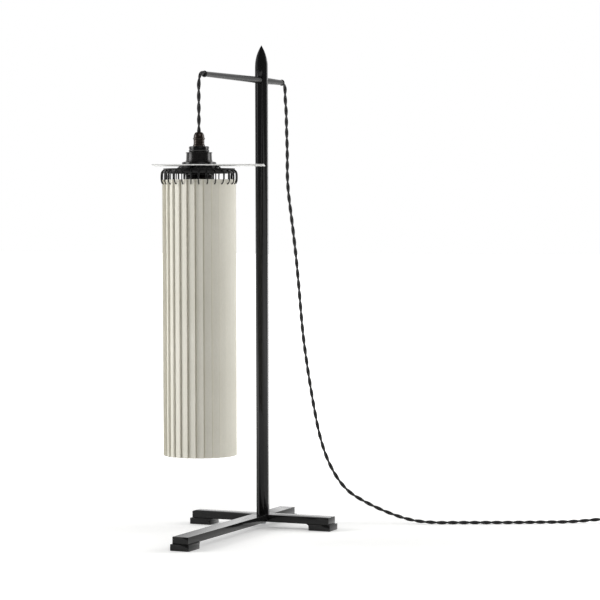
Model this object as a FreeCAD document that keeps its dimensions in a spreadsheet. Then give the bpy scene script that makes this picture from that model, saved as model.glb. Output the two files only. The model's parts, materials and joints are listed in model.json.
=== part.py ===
import FreeCAD, Part
import math
import os
import re
import Sketcher
from FreeCAD import Placement, Rotation, Vector

# Pleated paper table lamp, in millimetres.
# Z is up, the floor is z = 0 and the origin is under the middle of the stand.
# The crossbar and the long base beam run along Y, with the shade hanging at -Y.

doc = FreeCAD.newDocument("pleated_paper_table_lamp")
sheet = doc.addObject("Spreadsheet::Sheet", "Sizes")

DRIVING = {
    # base: two beams halved into a cross, on four stepped feet
    "beam_width": 26, "beam_height": 11, "front_reach": 290, "back_reach": 94,
    "side_reach": 118, "foot_length": 36, "foot_width": 30.5, "foot_height": 10,
    "foot_step": 3, "foot_cove": 4, "pad_radius": 9, "pad_thickness": 1.5,
    "pad_recess": 1, "screw_radius": 2, "screw_head_radius": 3.8,
    "screw_head_height": 2.4, "screw_length": 15, "hole_play": 0.2,
    # post: an octagon with an eight-sided ogive tip
    "post_across": 19, "post_turn": 12, "post_top": 758, "tip_height": 34,
    "insert_radius": 4.5, "insert_length": 20, "bolt_radius": 3,
    "bolt_length": 28, "bolt_head_radius": 5.2, "bolt_head_height": 4,
    "washer_radius": 7.5, "washer_thickness": 1.2,
    # crossbar: a tapered tube through the post
    "bar_drop": 55, "bar_front": 202, "bar_back": 76, "bar_middle_radius": 5.2,
    "bar_end_radius": 4, "bar_bore_radius": 2.9, "bar_fit": 0.1,
    "bush_length": 2, "bush_radius": 5, "lock_screw_radius": 1.5,
    # cord: two twisted cores, taken as one round section
    "cord_radius": 2.6, "cord_play": 0.3, "back_bend": 12, "hang_reach": 222,
    "neck_length": 4, "cord_entry": 8,
    # lampholder, upwards from the white plate
    "hang_drop": 137.1, "plate_thickness": 1.6, "plate_width": 164,
    "plate_depth": 112, "plate_shift": 15, "plate_turn": 23.9,
    "flange_radius": 25.5, "flange_thickness": 4.7, "body_radius": 20,
    "body_length": 13.8, "body_rim": 1.6, "collar_radius": 15.2,
    "collar_length": 8.8, "grip_radius": 8.2, "grip_bead": 9, "grip_length": 21.2,
    "skirt_radius": 19, "skirt_length": 18, "cavity_radius": 15.5,
    "wire_hole_radius": 5, "roof_thickness": 2, "thread_play": 0.2,
    # lower shade ring and what it holds
    "nut_radius": 28.5, "nut_length": 19, "nut_flange": 2.6, "nut_grip_radius": 20.4,
    "spider_thickness": 1, "spider_hub_radius": 27, "spider_arm_width": 6,
    # bulb with a screw cap
    "cap_radius": 13.2, "cap_length": 24, "shell_wall": 0.6, "globe_radius": 22.5,
    "glass_wall": 0.8, "glass_neck_radius": 12, "contact_radius": 4.5,
    "contact_height": 2.4, "core_thickness": 7, "stem_radius": 3,
    "filament_radius": 0.8, "filament_length": 26, "filament_spread": 8,
    # hoop, wire rings and pleated paper
    "pleats": 28, "pleat_radius": 55, "pleat_depth": 3, "paper_thickness": 0.8,
    "shade_drop": 20.4, "shade_length": 410, "return_angle": 0.9,
    "hoop_radius": 53.2, "hoop_wall": 1, "hoop_width": 7.2, "hoop_drop": 3.9,
    "ring_hole_radius": 1.1, "ring_wire_radius": 0.55, "ring_half_width": 4.2,
    "hoop_hole_drop": 2.8, "paper_hole_drop": 6.8,
    # inline switch, coil and plug
    "switch_length": 58, "switch_width": 24, "switch_height": 18, "case_wall": 2,
    "rocker_length": 16, "rocker_width": 10, "rocker_tilt": 9, "rocker_play": 0.4,
    "case_screw_radius": 1.6, "coil_radius": 33.5, "coil_pitch": 5.8, "coil_turns": 3,
    "plug_length": 33, "plug_width": 35, "plug_height": 13.6, "pin_radius": 2,
    "pin_length": 19, "pin_spacing": 18.6, "relief_length": 16, "relief_radius": 4.2,
}

for row, (alias, number) in enumerate(DRIVING.items(), start=1):
    sheet.set(f"A{row}", alias)
    sheet.set(f"B{row}", str(number))
    sheet.setAlias(f"B{row}", alias)
doc.recompute()

# Places that follow from the driving sizes, each written once.
DERIVED = {
    "post_y": "(front_reach - back_reach) / 2",
    "beam_top": "foot_height + beam_height",
    "lap": "beam_height / 2",
    "foot_bottom": "pad_thickness - pad_recess",
    "tip_start": "post_top - tip_height",
    "bar_level": "post_top - bar_drop",
    "half_post": "post_across / 2",
    "ogive_radius": "(half_post * half_post + tip_height * tip_height) / post_across",
    "hang_y": "post_y - hang_reach",
    "front_bend": "hang_reach - bar_front - bush_length",
    "swing_level": "bar_level - front_bend - cord_radius - cord_play",
    "tilt_level": "swing_level - neck_length",
    "plate_level": "bar_level - hang_drop",
    "plate_top": "plate_level + plate_thickness",
    "flange_top": "plate_top + flange_thickness",
    "body_top": "flange_top + body_length",
    "collar_top": "body_top + collar_length",
    "grip_top": "collar_top + grip_length",
    "skirt_bottom": "plate_level - skirt_length",
    "thread_radius": "skirt_radius + thread_play",
    "nut_top": "plate_level - spider_thickness",
    "nut_bottom": "nut_top - nut_length",
    "hoop_top": "plate_level - hoop_drop",
    "hoop_bottom": "hoop_top - hoop_width",
    "hoop_inside": "hoop_radius - hoop_wall",
    "shade_top": "plate_level - shade_drop",
    "shade_bottom": "shade_top - shade_length",
    "hoop_hole_level": "hoop_top - hoop_hole_drop",
    "paper_hole_level": "shade_top - paper_hole_drop",
    "pleat_inside": "pleat_radius - pleat_depth",
    "shell_radius": "cap_radius + 0.4",
    "cap_bottom": "skirt_bottom - 1",
    "cap_top": "cap_bottom + cap_length",
    "contact_top": "cap_top + contact_height",
    "core_bottom": "contact_top + 1.5",
}


def bind(text):
    """Turn plain size names into an expression on the sheet."""
    def swap(match):
        word = match.group(0)
        if word in DERIVED:
            return "(" + bind(DERIVED[word]) + ")"
        return "Sizes." + word if word in DRIVING else word
    return re.sub(r"[a-z_]+", swap, str(text))


def value(text):
    """The number that an expression of size names gives."""
    return float(sheet.evalExpression(bind(text)))


def drive(thing, **properties):
    """Bind properties of an object to expressions of size names."""
    for name, text in properties.items():
        thing.setExpression(name, bind(text))
    return thing


def put(thing, x="0", y="0", z="0", turn=None, axis=Vector(0, 0, 1)):
    """Place an object by expressions, turned about an axis through its own origin."""
    if turn is not None:
        thing.Placement = Placement(Vector(), Rotation(axis, value(turn)))
    for letter, text in (("x", x), ("y", y), ("z", z)):
        thing.setExpression("Placement.Base." + letter, bind(text))
    return thing


def outline(sketch, corners):
    """A closed outline of (x, y) corners, or (x, y, (cx, cy)) where an arc about c starts."""
    points = [Vector(value(corner[0]), value(corner[1]), 0) for corner in corners]
    ends = []
    for index, corner in enumerate(corners):
        start = points[index]
        stop = points[(index + 1) % len(points)]
        if len(corner) == 2:
            sketch.addGeometry(Part.LineSegment(start, stop))
            ends.append((1, 2))
            continue
        centre = Vector(value(corner[2][0]), value(corner[2][1]), 0)
        first = math.atan2(start.y - centre.y, start.x - centre.x)
        last = math.atan2(stop.y - centre.y, stop.x - centre.x)
        forward = (last - first) % (2 * math.pi) < math.pi
        angles = (first, last) if forward else (last, first)
        circle = Part.Circle(centre, Vector(0, 0, 1), (start - centre).Length)
        sketch.addGeometry(Part.ArcOfCircle(circle, *angles))
        ends.append((1, 2) if forward else (2, 1))
        across = sketch.addConstraint(Sketcher.Constraint("DistanceX", -1, 1, index, 3, centre.x))
        sketch.setExpression(f"Constraints[{across}]", bind(corner[2][0]))
    for index, corner in enumerate(corners):
        following = (index + 1) % len(corners)
        sketch.addConstraint(Sketcher.Constraint(
            "Coincident", index, ends[index][1], following, ends[following][0]))
        for kind, text, number in (("DistanceX", corner[0], points[index].x),
                                   ("DistanceY", corner[1], points[index].y)):
            place = sketch.addConstraint(Sketcher.Constraint(
                kind, -1, 1, index, ends[index][0], number))
            sketch.setExpression(f"Constraints[{place}]", bind(text))
    return sketch


def sketch_in(body, name, plane):
    """A sketch on one of the body's own origin planes."""
    sketch = body.newObject("Sketcher::SketchObject", name)
    support = [item for item in body.Origin.OriginFeatures if item.Role == plane][0]
    sketch.AttachmentSupport = [(support, "")]
    sketch.MapMode = "FlatFace"
    return sketch


def turned(label, corners, **spot):
    """A body turned about its own Z axis from (radius, height) corners."""
    body = doc.addObject("PartDesign::Body", label)
    profile = outline(sketch_in(body, label + "_profile", "XZ_Plane"), corners)
    turn = body.newObject("PartDesign::Revolution", label + "_turn")
    turn.Profile = profile
    turn.ReferenceAxis = (profile, ["V_Axis"])
    turn.Angle = 360
    return put(body, **spot)


def padded(label, corners, thickness, plane="XY_Plane", both_ways=False, **spot):
    """A body of one outline given a thickness."""
    body = doc.addObject("PartDesign::Body", label)
    profile = outline(sketch_in(body, label + "_profile", plane), corners)
    pad = body.newObject("PartDesign::Pad", label + "_pad")
    pad.Profile = profile
    pad.Midplane = both_ways
    drive(pad, Length=thickness)
    return put(body, **spot)


def rectangle(low_x, low_y, high_x, high_y):
    return [(low_x, low_y), (high_x, low_y), (high_x, high_y), (low_x, high_y)]


def box(name, length, width, height, x, y, z):
    """A block centred on x and y and standing on z."""
    block = drive(doc.addObject("Part::Box", name), Length=length, Width=width, Height=height)
    return put(block, f"{x} - ({length}) / 2", f"{y} - ({width}) / 2", z)


def rod(name, radius, height, x="0", y="0", z="0", turn=None, axis=Vector(0, 0, 1)):
    piece = drive(doc.addObject("Part::Cylinder", name), Radius=radius, Height=height)
    return put(piece, x, y, z, turn, axis)


def joined(label, pieces):
    whole = doc.addObject("Part::MultiFuse", label)
    whole.Shapes = pieces
    return whole


def without(label, piece, tools):
    """A piece with one or more tools cut away."""
    cut = doc.addObject("Part::Cut", label)
    cut.Base = piece
    cut.Tool = tools[0] if len(tools) == 1 else joined(label + "_tools", tools)
    return cut


def made(label, shape):
    """A piece whose shape no single feature gives."""
    piece = doc.addObject("Part::Feature", label)
    piece.Shape = shape
    return piece


NODES = []


def node(piece):
    NODES.append(piece)
    return piece


X_AXIS = Vector(1, 0, 0)
Y_AXIS = Vector(0, 1, 0)
Z_AXIS = Vector(0, 0, 1)

# ---------------------------------------------------------------- base cross

bolt_hole = rod("long_bolt_hole", "bolt_radius + hole_play", "beam_height", y="post_y", z="foot_height")
cross_bolt_hole = rod("cross_bolt_hole", "bolt_radius + hole_play", "beam_height",
                      y="post_y", z="foot_height")


def foot_spots():
    """Name, yaw of the way in to the middle, and the outer end of each arm."""
    return (("front", 90, "0", "post_y - front_reach - foot_step"),
            ("back", -90, "0", "post_y + back_reach + foot_step"),
            ("left", 0, "-side_reach - foot_step", "post_y"),
            ("right", 180, "side_reach + foot_step", "post_y"))


def screw_spot(yaw, end_x, end_y):
    """The middle of a foot, half a foot in from its outer end."""
    step_x = round(math.cos(math.radians(yaw)))
    step_y = round(math.sin(math.radians(yaw)))
    return f"{end_x} + {step_x} * foot_length / 2", f"{end_y} + {step_y} * foot_length / 2"


def pilot_holes(names):
    """The blind holes in a beam for the foot screws."""
    holes = []
    for name, yaw, end_x, end_y in foot_spots():
        if name in names:
            x, y = screw_spot(yaw, end_x, end_y)
            holes.append(rod(name + "_pilot", "screw_radius + hole_play",
                             "beam_height - lap / 2", x, y, "foot_height"))
    return holes


long_blank = box("long_blank", "beam_width", "front_reach + back_reach", "beam_height",
                 "0", "0", "foot_height")
long_lap = box("long_lap", "beam_width", "beam_width", "lap", "0", "post_y", "foot_height + lap")
node(without("base_beam_long", long_blank, [long_lap, bolt_hole] + pilot_holes(["front", "back"])))

cross_blank = box("cross_blank", "side_reach * 2", "beam_width", "beam_height",
                  "0", "post_y", "foot_height")
cross_lap = box("cross_lap", "beam_width", "beam_width", "lap", "0", "post_y", "foot_height")
node(without("base_beam_cross", cross_blank,
             [cross_lap, cross_bolt_hole] + pilot_holes(["left", "right"])))

# --------------------------------------------------- feet, pads and screws

FOOT_PROFILE = [
    ("0", "foot_bottom"), ("foot_length", "foot_bottom"),
    ("foot_length", "foot_height - foot_cove",
     ("foot_length + foot_cove", "foot_height - foot_cove")),
    ("foot_length + foot_cove", "foot_height"), ("0", "foot_height"),
]
screws = []
for name, yaw, end_x, end_y in foot_spots():
    block = padded(name + "_block", FOOT_PROFILE, "foot_width", "XZ_Plane", True,
                   x=end_x, y=end_y, turn=yaw)
    x, y = screw_spot(yaw, end_x, end_y)
    recess = rod(name + "_recess", "pad_radius + hole_play", "pad_recess", x, y, "foot_bottom")
    sink = rod(name + "_sink", "screw_head_radius + hole_play", "screw_head_height",
               x, y, "pad_thickness")
    passage = rod(name + "_passage", "screw_radius + hole_play", "foot_height", x, y, "foot_bottom")
    node(without("foot_" + name, block, [recess, sink, passage]))
    node(rod("pad_" + name, "pad_radius", "pad_thickness", x, y))
    head = rod(name + "_screw_head", "screw_head_radius", "screw_head_height",
               x, y, "pad_thickness")
    shank = rod(name + "_screw_shank", "screw_radius", "screw_length", x, y, "pad_thickness")
    screws.append(joined(name + "_screw", [head, shank]))
foot_screws = doc.addObject("Part::Compound", "foot_screws")
foot_screws.Links = screws
node(foot_screws)

# ------------------------------------------------------------------- post

# Four slabs, each an ogive in outline, meet in the eight-sided post.
POST_OUTLINE = [
    ("-half_post", "beam_top"), ("half_post", "beam_top"),
    ("half_post", "tip_start", ("half_post - ogive_radius", "tip_start")),
    ("0", "post_top", ("ogive_radius - half_post", "tip_start")),
    ("-half_post", "tip_start"),
]
slabs = []
for side in range(4):
    outline_sketch = doc.addObject("Sketcher::SketchObject", f"post_outline_{side}")
    yaw = Rotation(Z_AXIS, value("post_turn") + side * 45)
    outline_sketch.Placement = Placement(Vector(0, value("post_y"), 0), yaw * Rotation(X_AXIS, 90))
    outline(outline_sketch, POST_OUTLINE)
    slab = doc.addObject("Part::Extrusion", f"post_slab_{side}")
    slab.Base = outline_sketch
    slab.DirMode = "Normal"
    slab.Symmetric = True
    slab.Solid = True
    drive(slab, LengthFwd="post_across * 2")
    slabs.append(slab)
post_blank = doc.addObject("Part::MultiCommon", "post_blank")
post_blank.Shapes = slabs
bar_hole = rod("bar_hole", "bar_middle_radius + bar_fit", "post_across * 2",
               y="post_y - post_across", z="bar_level", turn="-90", axis=X_AXIS)
insert_hole = rod("insert_hole", "insert_radius", "insert_length", y="post_y", z="beam_top")
lock_hole = rod("lock_hole", "lock_screw_radius + hole_play", "post_across",
                x="-post_across", y="post_y", z="bar_level", turn="90", axis=Y_AXIS)
node(without("post", post_blank, [bar_hole, insert_hole, lock_hole]))

node(turned("post_insert", rectangle("bolt_radius + hole_play", "0", "insert_radius", "insert_length"),
            y="post_y", z="beam_top"))
node(turned("post_bolt", [
    ("0", "-bolt_head_height"), ("bolt_head_radius - 1", "-bolt_head_height"),
    ("bolt_head_radius", "1 - bolt_head_height"), ("bolt_head_radius", "0"),
    ("bolt_radius", "0"), ("bolt_radius", "bolt_length"), ("0", "bolt_length"),
], y="post_y", z="foot_height - washer_thickness"))
node(turned("post_washer",
            rectangle("bolt_radius + hole_play", "0", "washer_radius", "washer_thickness"),
            y="post_y", z="foot_height - washer_thickness"))

# --------------------------------------------------------------- crossbar

node(turned("crossbar", [
    ("bar_bore_radius", "-bar_front"), ("bar_end_radius", "-bar_front"),
    ("bar_middle_radius", "-half_post * 1.2"), ("bar_middle_radius", "half_post * 1.2"),
    ("bar_end_radius", "bar_back"), ("bar_bore_radius", "bar_back"),
], y="post_y", z="bar_level", turn="-90", axis=X_AXIS))
BUSH_PROFILE = [
    ("bar_bore_radius", "0"), ("bush_radius - 0.5", "0"), ("bush_radius", "0.5"),
    ("bush_radius", "bush_length - 0.5"), ("bush_radius - 0.5", "bush_length"),
    ("bar_bore_radius", "bush_length"),
]
node(turned("bush_front", BUSH_PROFILE, y="post_y - bar_front", z="bar_level",
            turn="90", axis=X_AXIS))
node(turned("bush_back", BUSH_PROFILE, y="post_y + bar_back", z="bar_level",
            turn="-90", axis=X_AXIS))
node(rod("lock_screw", "lock_screw_radius", "half_post - bar_middle_radius - bar_fit",
         x="-half_post", y="post_y", z="bar_level", turn="90", axis=Y_AXIS))

# ------------------------------------------------------------------- cord

CORD_RADIUS = value("cord_radius")


def arc_between(start, way, stop):
    """The arc that leaves start along way and ends at stop."""
    chord = stop - start
    aside = way - chord * (way.dot(chord) / chord.dot(chord))
    if aside.Length < 1e-6:
        return Part.LineSegment(start, stop).toShape()
    half = way.getAngle(chord)
    aside.normalize()
    top = start + chord * 0.5 + aside * (chord.Length / 2 * math.tan(half / 2))
    return Part.Arc(start, top, stop).toShape()


def tube(edges, radius):
    """A round tube along joined edges, square at both ends."""
    path = Part.Wire(edges)
    first = path.OrderedEdges[0]
    way = first.tangentAt(first.FirstParameter)
    circle = Part.Wire(Part.makeCircle(radius, path.OrderedVertexes[0].Point, way))
    return path.makePipeShell([circle], True, False), path.Length


def routed(label, points):
    """A tube along a route of runs, each corner rounded as far as its runs allow."""
    edges = []
    last = points[0]
    radii = []
    for before, corner, after in zip(points, points[1:], points[2:]):
        way_in = (corner - before).normalize()
        way_out = (after - corner).normalize()
        turn = way_in.getAngle(way_out)
        reach = 0.45 * min((corner - before).Length, (after - corner).Length)
        radii.append(reach / math.tan(turn / 2))
        start = corner - way_in * reach
        stop = corner + way_out * reach
        edges.append(Part.LineSegment(last, start).toShape())
        edges.append(arc_between(start, way_in, stop))
        last = stop
    edges.append(Part.LineSegment(last, points[-1]).toShape())
    solid, length = tube(edges, CORD_RADIUS)
    print(label, "length", round(length, 1), "least radii", [round(r, 1) for r in sorted(radii)[:4]],
          "volume over section x length", round(solid.Volume / (math.pi * CORD_RADIUS ** 2 * length), 4))
    return made(label, solid)


BAR_LEVEL = value("bar_level")
BACK_END = value("post_y + bar_back + bush_length")
BACK_BEND = value("back_bend")
FRONT_END = value("post_y - bar_front - bush_length")
FRONT_BEND = value("front_bend")
HANG_Y = value("hang_y")


def cord_in_bar():
    """The stretch held by the bar, and the bend over each of its ends."""
    back_low = Vector(0, BACK_END + BACK_BEND, BAR_LEVEL - BACK_BEND)
    back = Vector(0, BACK_END, BAR_LEVEL)
    front = Vector(0, FRONT_END, BAR_LEVEL)
    front_low = Vector(0, FRONT_END - FRONT_BEND, BAR_LEVEL - FRONT_BEND)
    edges = [arc_between(back_low, Z_AXIS, back), Part.LineSegment(back, front).toShape(),
             arc_between(front, -Y_AXIS, front_low)]
    solid, length = tube(edges, CORD_RADIUS)
    print("cord_in_bar length", round(length, 1))
    return made("cord_in_bar", solid)


node(cord_in_bar())

FLOOR_CORD = CORD_RADIUS + 0.1
SWITCH_CORD = 6.5
RUN_ROUTE = [
    Vector(0, BACK_END + BACK_BEND, BAR_LEVEL - BACK_BEND),
    Vector(0, BACK_END + BACK_BEND, BAR_LEVEL - BACK_BEND - 13),
    Vector(1, 190, 659), Vector(0, 193, 632), Vector(1, 194, 592), Vector(1, 193, 541),
    Vector(8, 195, 484), Vector(15, 196, 425), Vector(20, 198, 363), Vector(26, 197, 299),
    Vector(34, 199, 240), Vector(44, 198, 186), Vector(54, 200, 134), Vector(70, 202, 89),
    Vector(96, 205, 52), Vector(131, 210, 27), Vector(171, 218, 10), Vector(207, 224, FLOOR_CORD),
    Vector(239, 222, FLOOR_CORD), Vector(265, 239, FLOOR_CORD), Vector(301, 259, FLOOR_CORD),
    Vector(350, 272, FLOOR_CORD), Vector(398, 299, FLOOR_CORD), Vector(441, 325, FLOOR_CORD),
    Vector(477, 341, SWITCH_CORD), Vector(500, 351, SWITCH_CORD),
]
node(routed("cord_run", RUN_ROUTE))

SWITCH_WAY = (RUN_ROUTE[-1] - RUN_ROUTE[-2]).normalize()
SWITCH_YAW = math.degrees(math.atan2(SWITCH_WAY.y, SWITCH_WAY.x))
SWITCH_IN = RUN_ROUTE[-1]
SWITCH_OUT = SWITCH_IN + SWITCH_WAY * value("switch_length")
COIL_X = 566
COIL_Y = 430
COIL_RADIUS = value("coil_radius")
TAIL_ROUTE = [
    SWITCH_OUT, SWITCH_OUT + SWITCH_WAY * 14,
    Vector(585, 391, FLOOR_CORD), Vector(597, 403, FLOOR_CORD),
    Vector(COIL_X + COIL_RADIUS, COIL_Y - 14, FLOOR_CORD),
    Vector(COIL_X + COIL_RADIUS, COIL_Y, FLOOR_CORD),
]
COIL_TURNS = value("coil_turns")
COIL_PITCH = value("coil_pitch")


def coil_point(turns):
    """Spiral in on the floor, climb in the half turn where the spiral reverses, and out."""
    middle = COIL_TURNS / 2
    away = abs(turns - middle)
    inner = COIL_RADIUS - COIL_PITCH * middle
    reach = away if away >= 0.25 else 0.125 + 2 * away * away
    radius = inner + COIL_PITCH * reach
    rise = min(max((turns - middle) / 0.5 + 0.5, 0), 1)
    level = FLOOR_CORD + COIL_PITCH * rise * rise * (3 - 2 * rise)
    angle = 2 * math.pi * turns
    return Vector(COIL_X + radius * math.cos(angle), COIL_Y + radius * math.sin(angle), level)


def coil_way(turns):
    step = 1e-5
    return (coil_point(turns + step) - coil_point(turns - step)).normalize()


def biarc(start, way_in, stop, way_out):
    """Two arcs that join start to stop along both ways."""
    chord = stop - start
    both = way_in + way_out
    spare = 2 * (1 - way_in.dot(way_out))
    across = chord.dot(both)
    reach = (-across + math.sqrt(across * across + spare * chord.dot(chord))) / spare
    middle = (start + stop + (way_in - way_out) * reach) * 0.5
    second = arc_between(stop, -way_out, middle)
    return [arc_between(start, way_in, middle), second]


def coil():
    quarters = int(COIL_TURNS * 4)
    edges = []
    for quarter in range(quarters):
        begin = quarter / 4
        end = begin + 0.25
        edges += biarc(coil_point(begin), coil_way(begin + 1e-4), coil_point(end), coil_way(end - 1e-4))
    solid, length = tube(Part.__sortEdges__(edges), CORD_RADIUS)
    marks = [coil_point(COIL_TURNS * i / 800) for i in range(801)]
    gap = min((marks[i] - marks[j]).Length for i in range(0, 801, 2)
              for j in range(i + 60, 801, 2)) - 2 * CORD_RADIUS
    print("cord_coil length", round(length, 1), "least gap to itself", round(gap, 2),
          "volume over section x length", round(solid.Volume / (math.pi * CORD_RADIUS ** 2 * length), 4))
    return made("cord_coil", solid)


coil_start = coil_point(0)
coil_start_way = coil_way(1e-4)
TAIL_ROUTE[-2] = coil_start - coil_start_way * 14
node(routed("cord_tail", TAIL_ROUTE))
node(coil())

COIL_END = coil_point(COIL_TURNS)
COIL_END_WAY = coil_way(COIL_TURNS - 1e-4)
PLUG_CORD = value("plug_height / 2")
LEAD_ROUTE = [
    COIL_END, COIL_END + COIL_END_WAY * 15, Vector(596, 460, 6), Vector(586, 474, FLOOR_CORD),
    Vector(570, 481, 4), Vector(553, 482, PLUG_CORD), Vector(537, 480, PLUG_CORD),
]
node(routed("cord_lead", LEAD_ROUTE))

# ------------------------------------------------------- inline switch

switch_middle = (SWITCH_IN + SWITCH_OUT) * 0.5


def on_switch(name, piece):
    """Lay a piece made about the switch's own middle in its place on the floor."""
    moved = made(name, piece.Shape.copy())
    moved.Placement = Placement(Vector(switch_middle.x, switch_middle.y, 0),
                                Rotation(Z_AXIS, SWITCH_YAW))
    return moved


def case_screw_spots():
    """How far along the case its two screws stand."""
    reach = value("switch_length / 2") - 5
    return (-reach, reach)


def switch_case():
    """The case's two halves, split at the cord, with a pit for the rocker on top."""
    long, wide, high = (value("switch_" + side) for side in ("length", "width", "height"))
    wall = value("case_wall")
    block = Part.makeBox(long, wide, high, Vector(-long / 2, -wide / 2, 0))
    uprights = [edge for edge in block.Edges if abs(edge.BoundBox.ZLength - high) < 1e-6]
    block = block.makeFillet(wide * 0.3, uprights)
    cord_way = Part.makeCylinder(CORD_RADIUS + value("cord_play"), long,
                                 Vector(-long / 2, 0, SWITCH_CORD), X_AXIS)
    room = Part.makeBox(long - 8 * wall, wide - 2 * wall, high - 2 * wall,
                        Vector(-long / 2 + 4 * wall, -wide / 2 + wall, wall))
    pit = Part.makeBox(value("rocker_length + 2 * rocker_play"),
                       value("rocker_width + 2 * rocker_play"), high,
                       Vector(-value("rocker_length / 2 + rocker_play"),
                              -value("rocker_width / 2 + rocker_play"), high / 2))
    pivot = Part.makeCylinder(1.1, wide - 2 * wall, Vector(0, -wide / 2 + wall, high - 4), Y_AXIS)
    block = block.cut(cord_way).cut(room).cut(pit).cut(pivot)
    for x in case_screw_spots():
        block = block.cut(Part.makeCylinder(value("case_screw_radius + hole_play"), high - wall,
                                            Vector(x, -wide / 2 + 5, 0)))
    lower = Part.makeBox(long, wide, SWITCH_CORD, Vector(-long / 2, -wide / 2, 0))
    upper = Part.makeBox(long, wide, high, Vector(-long / 2, -wide / 2, SWITCH_CORD))
    return block.common(lower), block.common(upper)


def case_screws():
    """Two screws up through the lower half into the upper one."""
    high = value("switch_height - case_wall") - 1
    side = -value("switch_width") / 2 + 5
    return Part.makeCompound([Part.makeCylinder(value("case_screw_radius"), high, Vector(x, side, 0.4))
                              for x in case_screw_spots()])


lower_half, upper_half = switch_case()
node(on_switch("switch_screws", made("switch_screws_blank", case_screws())))
node(on_switch("switch_base", made("switch_base_blank", lower_half)))
node(on_switch("switch_cover", made("switch_cover_blank", upper_half)))


def rocker():
    """A rocker tipped to one side, on a pin across the case."""
    long = value("rocker_length")
    wide = value("rocker_width")
    high = value("switch_height")
    top = Part.makePolygon([Vector(-long / 2 + 0.6, 0, high - 6), Vector(long / 2 - 0.6, 0, high - 6),
                            Vector(long / 2 - 0.6, 0, high + 0.2), Vector(0, 0, high - 1.2),
                            Vector(-long / 2 + 0.6, 0, high + 0.2),
                            Vector(-long / 2 + 0.6, 0, high - 6)])
    body = Part.Face(top).extrude(Vector(0, wide, 0))
    body.translate(Vector(0, -wide / 2, 0))
    pin = Part.makeCylinder(1.0, wide + 4, Vector(0, -wide / 2 - 2, high - 4), Y_AXIS)
    whole = body.fuse(pin)
    whole.rotate(Vector(0, 0, high - 4), Y_AXIS, value("rocker_tilt"))
    return whole


node(on_switch("switch_rocker", made("switch_rocker_blank", rocker())))

# ------------------------------------------------------------------ plug

PLUG_WAY = (LEAD_ROUTE[-1] - LEAD_ROUTE[-2]).normalize()
PLUG_PLACE = Placement(LEAD_ROUTE[-1],
                       Rotation(Z_AXIS, math.degrees(math.atan2(PLUG_WAY.y, PLUG_WAY.x))))


def at_plug(name, shape):
    piece = made(name, shape)
    piece.Placement = PLUG_PLACE
    return piece


def plug_body():
    """A flat two-pin plug that widens from the cord to its face."""
    start = value("relief_length")
    stop = start + value("plug_length")
    wide = value("plug_width") / 2
    high = value("plug_height")
    corners = [(start, -wide * 0.4), (start + 12, -wide * 0.75), (stop - 6, -wide), (stop, -wide * 0.8),
               (stop, wide * 0.8), (stop - 6, wide), (start + 12, wide * 0.75), (start, wide * 0.4)]
    points = [Vector(x, y, -high / 2) for x, y in corners]
    body = Part.Face(Part.makePolygon(points + points[:1])).extrude(Vector(0, 0, high))
    return body.makeChamfer(1.2, [edge for edge in body.Edges if edge.BoundBox.ZLength < 1e-6])


def plug_relief():
    """A ribbed sleeve where the cord goes into the plug."""
    sleeve = Part.makeCone(value("relief_radius - 1"), value("relief_radius + 1"),
                           value("relief_length"), Vector(), X_AXIS)
    return sleeve


node(at_plug("plug_relief", plug_relief()))
node(at_plug("plug_body", plug_body()))
pin_start = Vector(value("relief_length + plug_length"), 0, 0)
pins = [Part.makeCylinder(value("pin_radius"), value("pin_length"),
                          pin_start + Vector(0, side * value("pin_spacing / 2"), 0), X_AXIS)
        for side in (-1, 1)]
node(at_plug("plug_pins", Part.makeCompound(pins)))

# ----------------------------------------------- hanging cord and holder

# The neck swings about X inside the front bend, and the drop about Y below it.
node(turned("cord_neck", [
    ("0", "tilt_level + cord_radius + cord_play"),
    ("cord_radius", "tilt_level + cord_radius + cord_play"),
    ("cord_radius", "swing_level", ("0", "swing_level")),
    ("0", "swing_level + cord_radius"),
], y="hang_y"))
node(turned("cord_drop", [
    ("0", "grip_top - cord_entry"), ("cord_radius", "grip_top - cord_entry"),
    ("cord_radius", "tilt_level", ("0", "tilt_level")),
    ("0", "tilt_level + cord_radius"),
], y="hang_y"))

node(turned("cord_grip", [
    ("cord_radius + cord_play", "grip_top - 14"), ("wire_hole_radius", "grip_top - 14"),
    ("wire_hole_radius", "collar_top"), ("grip_bead", "collar_top"),
    ("grip_bead", "collar_top + 2.2"), ("grip_radius", "collar_top + 2.8"),
    ("grip_radius", "grip_top - 11.4"), ("grip_bead", "grip_top - 10.6"),
    ("grip_bead", "grip_top - 8.8"), ("grip_radius", "grip_top - 8"),
    ("grip_radius - 0.6", "grip_top - 4.6"), ("grip_radius - 2", "grip_top - 1.6"),
    ("grip_radius - 4", "grip_top"), ("cord_radius + cord_play", "grip_top"),
], y="hang_y"))
node(turned("holder_collar", [
    ("wire_hole_radius", "body_top"), ("collar_radius", "body_top"),
    ("collar_radius", "body_top + 3.8"), ("collar_radius - 0.9", "body_top + 4.2"),
    ("collar_radius - 0.9", "body_top + 4.9"), ("collar_radius - 0.2", "body_top + 5.3"),
    ("collar_radius - 0.3", "collar_top - 0.8"), ("collar_radius - 1.2", "collar_top"),
    ("wire_hole_radius", "collar_top"),
], y="hang_y"))
node(turned("holder_body", [
    ("cavity_radius", "skirt_bottom"), ("skirt_radius", "skirt_bottom"),
    ("skirt_radius", "flange_top"), ("body_radius", "flange_top"),
    ("body_radius", "flange_top + body_rim"), ("body_radius - 0.6", "flange_top + body_rim + 0.4"),
    ("body_radius - 1", "body_top - body_rim - 0.4"), ("body_radius - 0.4", "body_top - body_rim"),
    ("body_radius - 0.4", "body_top"), ("wire_hole_radius", "body_top"),
    ("wire_hole_radius", "body_top - roof_thickness"),
    ("cavity_radius", "body_top - roof_thickness"),
], y="hang_y"))
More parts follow.
